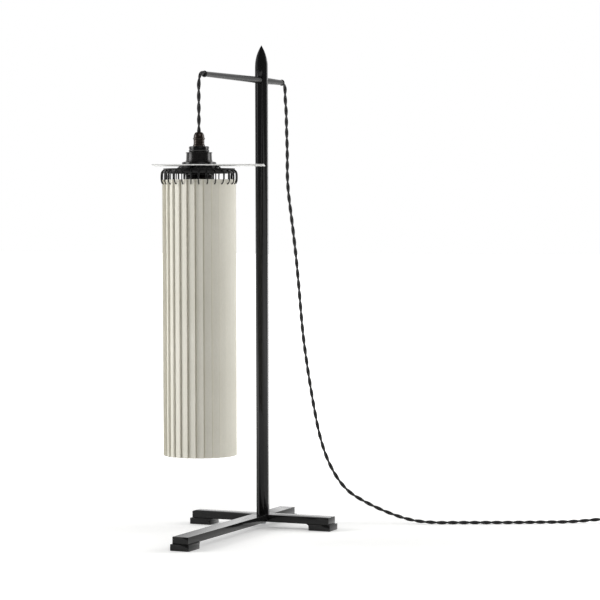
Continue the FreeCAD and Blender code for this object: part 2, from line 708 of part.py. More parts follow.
node(turned("holder_flange", [
    ("thread_radius", "plate_top"), ("flange_radius - 0.8", "plate_top"),
    ("flange_radius", "plate_top + 0.8"), ("flange_radius", "flange_top - 1.4"),
    ("flange_radius - 1.2", "flange_top - 0.4"), ("flange_radius - 4", "flange_top"),
    ("thread_radius", "flange_top"),
], y="hang_y"))

# The white plate is squared to its own edges, off centre on the holder.
plate_blank = doc.addObject("Part::Box", "plate_blank")
drive(plate_blank, Length="plate_width", Width="plate_depth", Height="plate_thickness")
PLATE_TURN = math.radians(value("plate_turn"))
COSINE = round(math.cos(PLATE_TURN), 5)
SINE = round(math.sin(PLATE_TURN), 5)
put(plate_blank,
    f"(plate_shift - plate_width / 2) * {COSINE} + plate_depth / 2 * {SINE}",
    f"hang_y + (plate_shift - plate_width / 2) * {SINE} - plate_depth / 2 * {COSINE}",
    "plate_level", turn="plate_turn")
plate_hole = rod("plate_hole", "thread_radius", "plate_thickness", y="hang_y", z="plate_level")
node(without("top_plate", plate_blank, [plate_hole]))

NUT_STEP = "nut_flange + 1.6"
node(turned("holder_nut", [
    ("thread_radius", "nut_bottom"), ("nut_grip_radius - 0.4", "nut_bottom"),
    ("nut_grip_radius", "nut_bottom + 6"), ("nut_grip_radius + 0.6", "nut_bottom + 6.4"),
    ("nut_grip_radius + 0.6", "nut_bottom + 8.4"), ("nut_grip_radius", "nut_bottom + 8.8"),
    ("nut_grip_radius + 1.6", "nut_bottom + 10.6"), ("nut_grip_radius + 2.2", "nut_bottom + 12.6"),
    ("nut_grip_radius + 1.6", "nut_bottom + 13"), (f"nut_radius - 2.4", f"nut_top - {NUT_STEP}"),
    ("nut_radius", "nut_top - nut_flange"), ("nut_radius", "nut_top - 0.6"),
    ("nut_radius - 0.6", "nut_top"), ("thread_radius", "nut_top"),
], y="hang_y"))

# ------------------------------------------------------- socket and bulb

node(turned("socket_core", [
    ("wire_hole_radius - 2", "core_bottom"), ("cavity_radius - hole_play", "core_bottom"),
    ("cavity_radius - hole_play", "core_bottom + core_thickness"),
    ("wire_hole_radius - 2", "core_bottom + core_thickness"),
], y="hang_y"))
node(turned("socket_contact", [
    ("0", "contact_top"), ("contact_radius", "contact_top"),
    ("contact_radius", "core_bottom"), ("0", "core_bottom"),
], y="hang_y"))
node(turned("socket_shell",
            rectangle("shell_radius", "cap_bottom + 2", "shell_radius + shell_wall", "core_bottom"),
            y="hang_y"))
node(turned("bulb_cap", [
    ("cap_radius - 1", "cap_bottom"), ("cap_radius", "cap_bottom"),
    ("cap_radius", "cap_top - 5"), ("contact_radius + 1", "cap_top"),
    ("contact_radius", "cap_top"), ("cap_radius - 1", "cap_top - 6"),
], y="hang_y"))
node(turned("bulb_contact", [
    ("0", "cap_top - 1"), ("contact_radius", "cap_top - 1"),
    ("contact_radius", "contact_top - 1"), ("contact_radius - 1.5", "contact_top"),
    ("0", "contact_top"),
], y="hang_y"))


def glass_profile(inset):
    """The neck and globe of the bulb, drawn in by a wall."""
    radius = value("globe_radius")
    neck = value("glass_neck_radius") - inset
    top = value("cap_bottom") + 8
    centre = value("cap_bottom") - 4 - radius
    globe = radius - inset
    join = centre + math.sqrt(globe ** 2 - neck ** 2)
    side = Vector(globe * math.cos(0.2), 0, centre + globe * math.sin(0.2))
    return [Part.LineSegment(Vector(0, 0, top), Vector(neck, 0, top)),
            Part.LineSegment(Vector(neck, 0, top), Vector(neck, 0, join)),
            Part.Arc(Vector(neck, 0, join), side, Vector(0, 0, centre - globe)),
            Part.LineSegment(Vector(0, 0, centre - globe), Vector(0, 0, top))]


def glass():
    """A thin globe, open at the top of its neck."""
    shells = []
    for inset in (0, value("glass_wall")):
        wire = Part.Wire([edge.toShape() for edge in glass_profile(inset)])
        shells.append(Part.Face(wire).revolve(Vector(), Z_AXIS, 360))
    solid = shells[0].cut(shells[1])
    solid.translate(Vector(0, HANG_Y, 0))
    return solid


node(made("bulb_glass", glass()))
FILAMENT_TOP = "cap_bottom - 13"
FILAMENT_BOTTOM = "cap_bottom - 13 - filament_length"
node(turned("bulb_stem", [
    ("0", FILAMENT_BOTTOM + " - 0.6"), ("filament_spread + 1", FILAMENT_BOTTOM + " - 0.6"),
    ("filament_spread + 1", FILAMENT_BOTTOM), ("stem_radius / 2", FILAMENT_BOTTOM),
    ("stem_radius / 2", FILAMENT_TOP), ("filament_spread + 1", FILAMENT_TOP),
    ("filament_spread + 1", FILAMENT_TOP + " + 0.6"), ("stem_radius", FILAMENT_TOP + " + 0.6"),
    ("stem_radius", "cap_bottom + 4"),
    ("glass_neck_radius - glass_wall - 0.1", "cap_bottom + 6"),
    ("glass_neck_radius - glass_wall - 0.1", "cap_bottom + 7"), ("0", "cap_bottom + 7"),
], y="hang_y"))
filaments = []
for quarter in range(4):
    angle = math.radians(45 + 90 * quarter)
    filaments.append(rod(f"filament_{quarter}", "filament_radius", "filament_length",
                         x=f"filament_spread * {round(math.cos(angle), 4)}",
                         y=f"hang_y + filament_spread * {round(math.sin(angle), 4)}",
                         z=FILAMENT_BOTTOM))
bulb_filaments = doc.addObject("Part::Compound", "bulb_filaments")
bulb_filaments.Links = filaments
node(bulb_filaments)

# ------------------------------------------------ hoop, rings and paper

PLEATS = int(value("pleats"))


def around(body, name, features):
    """Repeat features of a body once for each pleat."""
    pattern = body.newObject("PartDesign::PolarPattern", name)
    pattern.Originals = features
    axis = [item for item in body.Origin.OriginFeatures if item.Role == "Z_Axis"][0]
    pattern.Axis = (axis, [""])
    pattern.Angle = 360
    drive(pattern, Occurrences="pleats")
    body.Tip = pattern
    return pattern


def radial_hole(body, name, level, reach):
    """A round hole through the wall on the side of +X."""
    sketch = sketch_in(body, name + "_profile", "YZ_Plane")
    circle = sketch.addGeometry(Part.Circle(Vector(0, value(level), 0), Z_AXIS,
                                            value("ring_hole_radius")))
    height = sketch.addConstraint(Sketcher.Constraint("DistanceY", -1, 1, circle, 3, value(level)))
    sketch.setExpression(f"Constraints[{height}]", bind(level))
    sketch.addConstraint(Sketcher.Constraint("PointOnObject", circle, 3, -2))
    radius = sketch.addConstraint(Sketcher.Constraint("Radius", circle, value("ring_hole_radius")))
    sketch.setExpression(f"Constraints[{radius}]", bind("ring_hole_radius"))
    pocket = body.newObject("PartDesign::Pocket", name)
    pocket.Profile = sketch
    pocket.Reversed = True
    drive(pocket, Length=reach)
    return pocket


hoop = turned("shade_hoop", rectangle("hoop_inside", "hoop_bottom", "hoop_radius", "hoop_top"),
              y="hang_y")
hoop_hole = radial_hole(hoop, "hoop_hole", "hoop_hole_level", "hoop_radius * 1.2")
around(hoop, "hoop_holes", [hoop_hole])
node(hoop)

def drawn_in(corners, wall):
    """The corners of a closed outline moved in by a wall."""
    moved = []
    for before, corner, after in zip(corners[-1:] + corners, corners, corners[1:] + corners[:1]):
        way_in = (corner - before).normalize()
        way_out = (after - corner).normalize()
        left = Vector(-way_in.y, way_in.x, 0) + Vector(-way_out.y, way_out.x, 0)
        left.normalize()
        lean = left.dot(Vector(-way_in.y, way_in.x, 0))
        moved.append(corner + left * (wall / lean))
    return moved


def paper():
    """The pleated wall, a fold at each pitch, with one hole for a ring in each long face."""
    pitch = 360 / PLEATS
    back = value("return_angle")
    low = value("pleat_inside")
    high = value("pleat_radius")
    wall = value("paper_thickness")
    half = (pitch - back) / 2
    corners = []
    for pleat in range(PLEATS):
        for radius, degrees in ((low, -half), (high, half)):
            angle = math.radians(degrees + pleat * pitch)
            corners.append(Vector(radius * math.cos(angle), radius * math.sin(angle), 0))
    inside = drawn_in(corners, wall)
    ring = Part.Face(Part.makePolygon(corners + corners[:1]))
    ring = ring.cut(Part.Face(Part.makePolygon(inside + inside[:1])))
    solid = ring.extrude(Vector(0, 0, value("shade_length")))
    solid.translate(Vector(0, 0, value("shade_bottom")))
    holes = []
    for pleat in range(PLEATS):
        way = Rotation(Z_AXIS, pleat * pitch).multVec(X_AXIS)
        start = way * (low - 3) + Vector(0, 0, value("paper_hole_level"))
        holes.append(Part.makeCylinder(value("ring_hole_radius"), value("pleat_depth") + 6, start, way))
    solid = solid.cut(Part.makeCompound(holes))
    solid.translate(Vector(0, HANG_Y, 0))
    return solid


node(made("pleated_shade", paper()))


def wire_ring():
    """One long wire ring in the plane of X and Z, through hoop and paper."""
    half = value("ring_half_width")
    middle = value("hoop_radius - hoop_wall / 2")
    high = value("hoop_hole_level") - half
    low = value("paper_hole_level") + half
    corners = [Vector(middle + side * half, 0, level) for side, level in
               ((1, low), (1, high), (-1, high), (-1, low))]
    edges = [Part.LineSegment(corners[0], corners[1]),
             Part.Arc(corners[1], Vector(middle, 0, high + half), corners[2]),
             Part.LineSegment(corners[2], corners[3]),
             Part.Arc(corners[3], Vector(middle, 0, low - half), corners[0])]
    path = Part.Wire([edge.toShape() for edge in edges])
    circle = Part.Wire(Part.makeCircle(value("ring_wire_radius"), corners[0], Z_AXIS))
    return path.makePipeShell([circle], True, False)


ring = wire_ring()
rings = []
for pleat in range(PLEATS):
    copy = ring.copy()
    copy.rotate(Vector(), Z_AXIS, pleat * 360 / PLEATS)
    copy.translate(Vector(0, HANG_Y, 0))
    rings.append(copy)
node(made("hanging_rings", Part.makeCompound(rings)))


def spider():
    """A thin hub under the plate, with four arms bent down inside the hoop."""
    thick = value("spider_thickness")
    wide = value("spider_arm_width")
    top = value("plate_level")
    reach = math.sqrt(value("hoop_inside") ** 2 - (wide / 2) ** 2)
    hub = Part.makeCylinder(value("spider_hub_radius"), thick, Vector(0, 0, top - thick))
    whole = [hub]
    for quarter in range(4):
        arm = Part.makeBox(reach, wide, thick, Vector(0, -wide / 2, top - thick))
        tab = Part.makeBox(thick, wide, top - value("hoop_bottom"),
                           Vector(reach - thick, -wide / 2, value("hoop_bottom")))
        for piece in (arm, tab):
            piece.rotate(Vector(), Z_AXIS, (quarter * PLEATS / 4 + 0.5) * 360 / PLEATS)
            whole.append(piece)
    solid = whole[0].multiFuse(whole[1:]).removeSplitter()
    solid = solid.cut(Part.makeCylinder(value("thread_radius"), thick, Vector(0, 0, top - thick)))
    solid.translate(Vector(0, HANG_Y, 0))
    return solid


node(made("shade_spider", spider()))

# --------------------------------------------------------- check and write

doc.recompute()
failed = [thing.Name for thing in doc.Objects
          if {"Invalid", "Error"} & set(thing.State)]
if failed:
    raise RuntimeError("failed: " + ", ".join(failed))
os.makedirs("parts", exist_ok=True)
for piece in NODES:
    shape = piece.Shape
    if shape.isNull() or not shape.isValid():
        raise RuntimeError("bad shape: " + piece.Label)
    shape.exportStep(f"parts/{piece.Label}.step")
print(len(NODES), "nodes written")
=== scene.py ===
import json
import math

import bmesh
import bpy
from mathutils import Euler, Matrix, Vector


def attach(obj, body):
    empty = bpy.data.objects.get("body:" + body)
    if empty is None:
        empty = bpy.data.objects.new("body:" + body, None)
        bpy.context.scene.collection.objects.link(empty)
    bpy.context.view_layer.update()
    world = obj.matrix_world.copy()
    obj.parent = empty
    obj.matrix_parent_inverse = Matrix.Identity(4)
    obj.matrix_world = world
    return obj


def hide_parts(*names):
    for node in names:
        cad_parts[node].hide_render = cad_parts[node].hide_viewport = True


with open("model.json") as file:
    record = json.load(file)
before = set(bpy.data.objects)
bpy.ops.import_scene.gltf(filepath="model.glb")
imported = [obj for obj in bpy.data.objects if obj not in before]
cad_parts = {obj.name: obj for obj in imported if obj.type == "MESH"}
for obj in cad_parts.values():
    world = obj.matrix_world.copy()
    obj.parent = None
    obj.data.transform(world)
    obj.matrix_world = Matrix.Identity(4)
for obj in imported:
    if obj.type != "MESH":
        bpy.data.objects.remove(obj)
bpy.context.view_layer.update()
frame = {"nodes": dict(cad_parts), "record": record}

MM = 0.001
scene = bpy.context.scene
scene.view_settings.view_transform = "Standard"

# ------------------------------------------------------------------ camera
# A long lens from the front right, as the lamp was photographed. The eye is about
# 3.6 m away and half a metre up, and looks down by two degrees.

EYE = Vector((1.5574, -3.2748, 0.5042))
EYE_TURN = math.radians(23.869)
EYE_DIP = math.radians(2.25)
EYE_ROLL = math.radians(-0.158)
FOCAL_PIXELS = 2362.2
PICTURE_PIXELS = 600
SENSOR = 36.0
VIEW_REACH = 60

camera_data = bpy.data.cameras.new("eye")
camera_data.sensor_width = SENSOR
camera_data.lens = SENSOR * FOCAL_PIXELS / PICTURE_PIXELS
camera_data.clip_end = VIEW_REACH
camera = bpy.data.objects.new("eye", camera_data)
look = Euler((math.pi / 2 - EYE_DIP, 0, EYE_TURN)).to_matrix().to_4x4()
camera.matrix_world = Matrix.Translation(EYE) @ look @ Matrix.Rotation(EYE_ROLL, 4, "Z")
scene.collection.objects.link(camera)
scene.camera = camera

# ------------------------------------------------------------------- cords
# Two cores, each in a black braided cotton sleeve, twisted about each other. They
# come down from the back of the crossbar, run along the floor to a switch, and end
# in a small neat coil and a plug. A short stretch goes through the bar to the lamp.

CORE_RADIUS = 1.45 * MM
CORE_REACH = 1.42 * MM
TWIST_PITCH = 35 * MM
CORE_STEP = 1.6 * MM
CORE_SIDES = 12
HANG_Y = -124 * MM
BAR_LEVEL = 703 * MM
LAID = 2.9  # height of the cord's middle where it lies on the floor, in mm


def millimetres(*points):
    """Points given in millimetres, as vectors in metres."""
    return [Vector(point) * MM for point in points]


def smooth_line(points):
    """The smooth line that a cord follows, with the route's points as its controls."""
    curve = bpy.data.curves.new("route", "CURVE")
    curve.dimensions = "3D"
    curve.resolution_u = 16
    spline = curve.splines.new("NURBS")
    spline.points.add(len(points) - 1)
    for control, point in zip(spline.points, points):
        control.co = (*point, 1)
    spline.order_u = 3
    spline.use_endpoint_u = True
    holder = bpy.data.objects.new("route", curve)
    mesh = bpy.data.meshes.new_from_object(holder)
    line = [vertex.co.copy() for vertex in mesh.vertices]
    bpy.data.objects.remove(holder)
    bpy.data.meshes.remove(mesh)
    return line


def length_of(line):
    """How long a line of points is."""
    return sum((b - a).length for a, b in zip(line, line[1:]))


def even(line, step):
    """The same line with its points a step apart."""
    length = length_of(line)
    count = max(2, round(length / step))
    points = []
    walked = 0
    index = 0
    for share in range(count + 1):
        place = length * share / count
        while index < len(line) - 2 and walked + (line[index + 1] - line[index]).length < place:
            walked += (line[index + 1] - line[index]).length
            index += 1
        run = line[index + 1] - line[index]
        points.append(line[index] + run * min(1, (place - walked) / max(run.length, 1e-9)))
    return points


def frames(points, side):
    """A tangent and a side that doesn't turn about it, at each point of a line."""
    out = []
    for index, point in enumerate(points):
        ahead = points[min(index + 1, len(points) - 1)]
        behind = points[max(index - 1, 0)]
        tangent = (ahead - behind).normalized()
        side = (side - tangent * side.dot(tangent)).normalized()
        out.append((point, tangent, side))
    return out


def spokes(sides):
    """The cosine and sine of each of a circle's even turns."""
    return [(math.cos(2 * math.pi * k / sides), math.sin(2 * math.pi * k / sides)) for k in range(sides)]


def core(mesh, points, side):
    """A round core with closed ends.

    A UV map of turns across and metres along is laid only on a mesh that has a map already.
    A new mesh has none, so the braid shows as one even tone.
    """
    sleeve = mesh.loops.layers.uv.active
    rings = []
    walked = [0.0]
    for a, b in zip(points, points[1:]):
        walked.append(walked[-1] + (b - a).length)
    for point, tangent, across in frames(points, side):
        up = tangent.cross(across)
        rings.append([mesh.verts.new(point + CORE_RADIUS * (cosine * across + sine * up))
                      for cosine, sine in spokes(CORE_SIDES)])
    for index, (low, high) in enumerate(zip(rings, rings[1:])):
        for k in range(CORE_SIDES):
            turn = (k + 1) % CORE_SIDES
            face = mesh.faces.new((low[k], low[turn], high[turn], high[k]))
            face.smooth = True
            if sleeve:
                marks = ((k, index), (k + 1, index), (k + 1, index + 1), (k, index + 1))
                for loop, (spoke, step) in zip(face.loops, marks):
                    loop[sleeve].uv = (spoke / CORE_SIDES, walked[step])
    mesh.faces.new(rings[0][::-1])
    mesh.faces.new(rings[-1])


def put(name, mesh, body, *nodes):
    """Link a finished mesh as a piece on a body, in place of CAD nodes."""
    data = bpy.data.meshes.new(name)
    mesh.to_mesh(data)
    mesh.free()
    piece = bpy.data.objects.new(name, data)
    scene.collection.objects.link(piece)
    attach(piece, body)
    if nodes:
        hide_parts(*nodes)
    return piece


FIRST_SIDE = Vector((0.3, 0.2, 0.1))  # in line with no run of the cord


def twisted(name, line, body, *nodes, phase=0.0):
    """Two cores twisted about a line. Returns the piece and the phase at its end."""
    points = even(line, CORE_STEP)
    mesh = bmesh.new()
    walk = 0.0
    spots = []
    last = points[0]
    for point, tangent, side in frames(points, Vector((1, 0, 0))):
        walk += (point - last).length
        last = point
        angle = phase + 2 * math.pi * walk / TWIST_PITCH
        reach = math.cos(angle) * side + math.sin(angle) * tangent.cross(side)
        spots.append((point, reach))
    for sign in (-1, 1):
        middles = [point + reach * sign * CORE_REACH for point, reach in spots]
        core(mesh, middles, FIRST_SIDE)
    return put(name, mesh, body, *nodes), angle


BACK_LOW = (0, 188, 691)
RUN_ROUTE = millimetres(
    BACK_LOW, (0, 188, 678), (1, 190, 659), (0, 193, 632), (1, 194, 592), (1, 193, 541),
    (8, 195, 484), (15, 196, 425), (20, 198, 363), (26, 197, 299), (34, 199, 240),
    (44, 198, 186), (54, 200, 134), (70, 202, 89), (96, 205, 51), (131, 210, 31),
    (171, 216, 14.5), (207, 220, 5), (239, 227, LAID), (265, 238, LAID), (301, 254, LAID),
    (350, 275, LAID), (398, 300, LAID), (441, 323, LAID), (477, 341, 6.5), (500, 351, 6.5))
SWITCH_LENGTH = 58 * MM
SWITCH_IN = RUN_ROUTE[-1]
SWITCH_WAY = (RUN_ROUTE[-1] - RUN_ROUTE[-2]).normalized()
SWITCH_OUT = SWITCH_IN + SWITCH_WAY * SWITCH_LENGTH
COIL_MIDDLE = Vector((566, 430, 0)) * MM
COIL_RADIUS = 33.5 * MM
COIL_PITCH = 5.8 * MM
COIL_TURNS = 3
COIL_POINTS = 16
COIL_EASE = 0.25  # turns on each side of its middle in which the spiral reverses
COIL_CLIMB = 0.5  # turns in which it climbs a layer


def coil_point(turns):
    """Spiral in on the floor, climb where the spiral reverses, and out again."""
    middle = COIL_TURNS / 2
    away = abs(turns - middle)
    reach = away if away >= COIL_EASE else COIL_EASE / 2 + away * away / (2 * COIL_EASE)
    radius = COIL_RADIUS - COIL_PITCH * middle + COIL_PITCH * reach
    rise = min(max((turns - middle) / COIL_CLIMB + 0.5, 0), 1)
    level = LAID * MM + COIL_PITCH * rise * rise * (3 - 2 * rise)
    angle = 2 * math.pi * turns
    return COIL_MIDDLE + Vector((radius * math.cos(angle), radius * math.sin(angle), level))


TAIL_ROUTE = [SWITCH_OUT, SWITCH_OUT + SWITCH_WAY * 14 * MM] + millimetres(
    (585, 391, LAID), (597, 403, LAID), (599.5, 416, LAID))
COIL_ROUTE = [coil_point(step / COIL_POINTS) for step in range(COIL_TURNS * COIL_POINTS + 1)]
LEAD_ROUTE = [COIL_ROUTE[-1] + Vector((0.4, 15, 0)) * MM] + millimetres(
    (596, 460, 6), (586, 474, LAID), (570, 481, 4), (553, 482, 6.8), (537, 480, 6.8))

mains_line = smooth_line(RUN_ROUTE + TAIL_ROUTE + COIL_ROUTE + LEAD_ROUTE)
mains_cord, _ = twisted("mains_cord", mains_line, "stand",
                        "cord_run", "cord_tail", "cord_coil", "cord_lead")

BACK_BEND = 12 * MM
BEND_STEPS = 12
FRONT_ROUTE = millimetres((0, -98, 703), (0, -104, 703), (0, -108, 704.2), (0, -114, 704.4),
                          (0, -119.5, 700.5), (0, -122.2, 694.5), (0, -123.6, 689), (0, -124, 685))
NECK_TOP = 685 * MM
NECK_FOOT = 680.9 * MM
DROP_FOOT = 608 * MM


def bar_line():
    """Up over the back end of the bar, through it, and down over the front end."""
    back = Vector((0, BACK_LOW[1] * MM - BACK_BEND, BAR_LEVEL))
    points = []
    for step in range(BEND_STEPS + 1):
        angle = math.pi / 2 * step / BEND_STEPS
        points.append(back + BACK_BEND * Vector((0, math.cos(angle), math.sin(angle) - 1)))
    return points + smooth_line(FRONT_ROUTE)


bar_cord, phase = twisted("bar_cord", bar_line(), "stand", "cord_in_bar")
neck_line = [Vector((0, HANG_Y, NECK_TOP)), Vector((0, HANG_Y, NECK_FOOT))]
neck_cord, phase = twisted("neck_cord", neck_line, "neck", "cord_neck", phase=phase)
drop_line = [Vector((0, HANG_Y, NECK_FOOT)), Vector((0, HANG_Y, DROP_FOOT))]
drop_cord, _ = twisted("drop_cord", drop_line, "drop", "cord_drop", phase=phase)


def linear(code):
    """A linear colour from an sRGB hex code."""
    parts = [int(code[i:i + 2], 16) / 255 for i in (1, 3, 5)]
    return tuple(c / 12.92 if c <= 0.04045 else ((c + 0.055) / 1.055) ** 2.4 for c in parts) + (1,)


def add(tree, kind, links=None, **settings):
    """Add a node, set its properties, then its inputs' values, and link its inputs.

    An input goes by its label, or by its number after an underscore.
    """
    item = tree.nodes.new(kind)
    for key, setting in settings.items():
        if hasattr(item, key):
            setattr(item, key, setting)
    for key, setting in settings.items():
        if not hasattr(item, key):
            spot = int(key[1:]) if key[0] == "_" else key.replace("_", " ")
            item.inputs[spot].default_value = setting
    for key, source in (links or {}).items():
        tree.links.new(source, item.inputs[key])
    return item


def material(name, **values):
    """A material with its output, and a shader whose inputs have these values."""
    stuff = bpy.data.materials.new(name)
    stuff.use_nodes = True
    tree = stuff.node_tree
    tree.nodes.clear()
    shader = add(tree, "ShaderNodeBsdfPrincipled", **values)
    add(tree, "ShaderNodeOutputMaterial", {0: shader.outputs[0]})
    return stuff, tree, shader


def braided_cotton():
    """Black cotton braid: a near-black tone with a soft sheen.

    Where a mesh has a UV map it has diagonal plaits too, 1.5 mm long to be coarse enough to show. Their
    crowns are painted lighter as a painted highlight, and the grooves between them darker as painted shade.
    """
    stuff, tree, shader = material("braided_cotton", Roughness=0.72, Sheen_Weight=0.12)
    plait = 1.5 * MM
    ends = 10
    place = add(tree, "ShaderNodeUVMap")
    parts = add(tree, "ShaderNodeSeparateXYZ", {0: place.outputs[0]})
    along = add(tree, "ShaderNodeMath", {0: parts.outputs[1]}, operation="MULTIPLY", _1=1 / plait)
    around = add(tree, "ShaderNodeMath", {0: parts.outputs[0]}, operation="MULTIPLY", _1=ends)
    waves = []
    for kind in ("ADD", "SUBTRACT"):
        lean = add(tree, "ShaderNodeMath", {0: along.outputs[0], 1: around.outputs[0]}, operation=kind)
        turn = add(tree, "ShaderNodeMath", {0: lean.outputs[0]}, operation="MULTIPLY", _1=2 * math.pi)
        waves.append(add(tree, "ShaderNodeMath", {0: turn.outputs[0]}, operation="SINE"))
    crown = add(tree, "ShaderNodeMath", {0: waves[0].outputs[0], 1: waves[1].outputs[0]},
                operation="MAXIMUM")
    # The tone follows the plaits' height: crowns painted lighter as a painted highlight, grooves painted
    # darker as painted shade.
    ramp = add(tree, "ShaderNodeMapRange", {0: crown.outputs[0]}, From_Min=-0.4, From_Max=1.0)
    shade = add(tree, "ShaderNodeMix", {0: ramp.outputs[0]}, data_type="RGBA",
                _6=linear("#070707"), _7=linear("#1a191a"))
    bump = add(tree, "ShaderNodeBump", {"Height": ramp.outputs[0]}, Strength=0.5, Distance=0.25 * MM)
    tree.links.new(shade.outputs[2], shader.inputs["Base Color"])
    tree.links.new(bump.outputs[0], shader.inputs["Normal"])
    return stuff


cotton = braided_cotton()
for piece in (mains_cord, bar_cord, neck_cord, drop_cord):
    piece.data.materials.append(cotton)

# ------------------------------------------------------- floor and light
# A pale floor that runs out of sight, a broad soft light on each side and one above,
# and a bright room that the lacquer picks up at a low angle.

FLOOR_SIZE = 40.0
LIGHT_REACH = 2.1
LIGHT_AIM = Vector((0, 0, 0.42))
WHITE = linear("#ffffff")


def pale_floor():
    """Painted board that reads as white, and still takes the lamp's soft shadow."""
    stuff, tree, shader = material("pale_floor", Base_Color=linear("#f2f2f1"), Roughness=0.9,
                                   Specular_IOR_Level=0.1)
    path = add(tree, "ShaderNodeLightPath")
    seen = add(tree, "ShaderNodeMath", {0: path.outputs["Is Camera Ray"],
                                        1: path.outputs["Is Glossy Ray"]}, operation="MAXIMUM")
    also = add(tree, "ShaderNodeMath", {0: seen.outputs[0],
                                        1: path.outputs["Is Transmission Ray"]}, operation="MAXIMUM")
    place = add(tree, "ShaderNodeTexCoord")
    reach = add(tree, "ShaderNodeVectorMath", {0: place.outputs["Object"]}, operation="LENGTH")
    level = add(tree, "ShaderNodeMapRange", {0: reach.outputs["Value"]}, From_Min=0.4, From_Max=1.6,
                To_Min=0.25, To_Max=0.95)
    glow = add(tree, "ShaderNodeEmission", {1: level.outputs[0]}, Color=WHITE)
    both = add(tree, "ShaderNodeAddShader", {0: shader.outputs[0], 1: glow.outputs[0]})
    mix = add(tree, "ShaderNodeMixShader", {0: also.outputs[0], 1: shader.outputs[0], 2: both.outputs[0]})
    tree.links.new(mix.outputs[0], tree.nodes["Material Output"].inputs[0])
    return stuff


mesh = bmesh.new()
bmesh.ops.create_grid(mesh, x_segments=1, y_segments=1, size=FLOOR_SIZE / 2)
floor_data = bpy.data.meshes.new("floor")
mesh.to_mesh(floor_data)
mesh.free()
floor = bpy.data.objects.new("floor", floor_data)
floor.data.materials.append(pale_floor())
scene.collection.objects.link(floor)

# The room is brighter behind the lamp, more so in reflections than as light, and plain
# white to the eye.
room = bpy.data.worlds.new("room")
room.use_nodes = True
scene.world = room
tree = room.node_tree
tree.nodes.clear()
path = add(tree, "ShaderNodeLightPath")
way = add(tree, "ShaderNodeTexCoord")
away = add(tree, "ShaderNodeVectorMath", {0: way.outputs["Generated"]}, operation="DOT_PRODUCT",
           _1=(-math.sin(EYE_TURN), math.cos(EYE_TURN), 0))
depth = add(tree, "ShaderNodeMapRange", {0: away.outputs["Value"]},
            From_Min=0.1, From_Max=0.8, To_Min=0.13, To_Max=1.0)
soft = add(tree, "ShaderNodeBackground", {1: depth.outputs[0]}, Color=WHITE)
evened = add(tree, "ShaderNodeMapRange", {0: away.outputs["Value"]},
             From_Min=-0.5, From_Max=0.35, To_Min=0.18, To_Max=0.62)
fill = add(tree, "ShaderNodeBackground", {1: evened.outputs[0]}, Color=WHITE)
bright = add(tree, "ShaderNodeBackground", Color=WHITE, Strength=1.0)
shiny = add(tree, "ShaderNodeMixShader", {0: path.outputs["Is Glossy Ray"], 1: fill.outputs[0],
                                          2: soft.outputs[0]})
clear = add(tree, "ShaderNodeMath", {0: path.outputs["Is Camera Ray"],
                                     1: path.outputs["Is Transmission Ray"]}, operation="MAXIMUM")
whole = add(tree, "ShaderNodeMixShader", {0: clear.outputs[0], 1: shiny.outputs[0], 2: bright.outputs[0]})
add(tree, "ShaderNodeOutputWorld", {0: whole.outputs[0]})


def soft_box(name, turn, level, width, height, power):
    """A broad light aimed at the lamp, at a turn about it, in degrees, from the camera's side."""
    data = bpy.data.lights.new(name, "AREA")
    data.shape = "RECTANGLE"
    data.size = width
    data.size_y = height
    data.energy = power
    lamp = bpy.data.objects.new(name, data)
    angle = EYE_TURN + math.radians(turn)
    lamp.location = (LIGHT_REACH * math.sin(angle), -LIGHT_REACH * math.cos(angle), level)
    aim = LIGHT_AIM - lamp.location
    lamp.rotation_euler = aim.to_track_quat("-Z", "Y").to_euler()
    scene.collection.objects.link(lamp)


soft_box("left_light", turn=-82, level=1.0, width=1.1, height=1.4, power=31)
soft_box("right_light", turn=100, level=1.0, width=0.9, height=1.4, power=24)
soft_box("top_light", turn=20, level=2.3, width=1.8, height=1.8, power=16)

# ------------------------------------------------------- base and post
# Beech, planed and sprayed with satin black lacquer: two beams halved into a cross,
# a stepped foot under each end, and an eight-sided post with a carved point.


def merged_copy(name):
    """A clean mesh of a CAD node: its triangles joined, and its flat faces made whole."""
    mesh = bmesh.new()
    mesh.from_mesh(frame["nodes"][name].data)
    mesh.transform(frame["nodes"][name].matrix_world)
    bmesh.ops.remove_doubles(mesh, verts=mesh.verts, dist=0.01 * MM)
    bmesh.ops.dissolve_limit(mesh, angle_limit=math.radians(1), verts=mesh.verts, edges=mesh.edges)
    bmesh.ops.recalc_face_normals(mesh, faces=mesh.faces)
    return mesh


BODY = {node: body for body, nodes in frame["record"]["behaviour"]["bodies"].items() for node in nodes}


def eased(node, stuff, width, steps=2, angle=32):
    """A CAD node's own shape with its edges eased, as a piece that replaces it."""
    piece = put(node + "_eased", merged_copy(node), BODY[node], node)
    piece.data.materials.append(stuff)
    for face in piece.data.polygons:
        face.use_smooth = True
    bevel = piece.modifiers.new("eased", "BEVEL")
    bevel.width = width
    bevel.segments = steps
    bevel.limit_method = "ANGLE"
    bevel.angle_limit = math.radians(angle)
    bevel.harden_normals = True
    return piece


PORES_ACROSS = 900
PORES_ALONG = 60


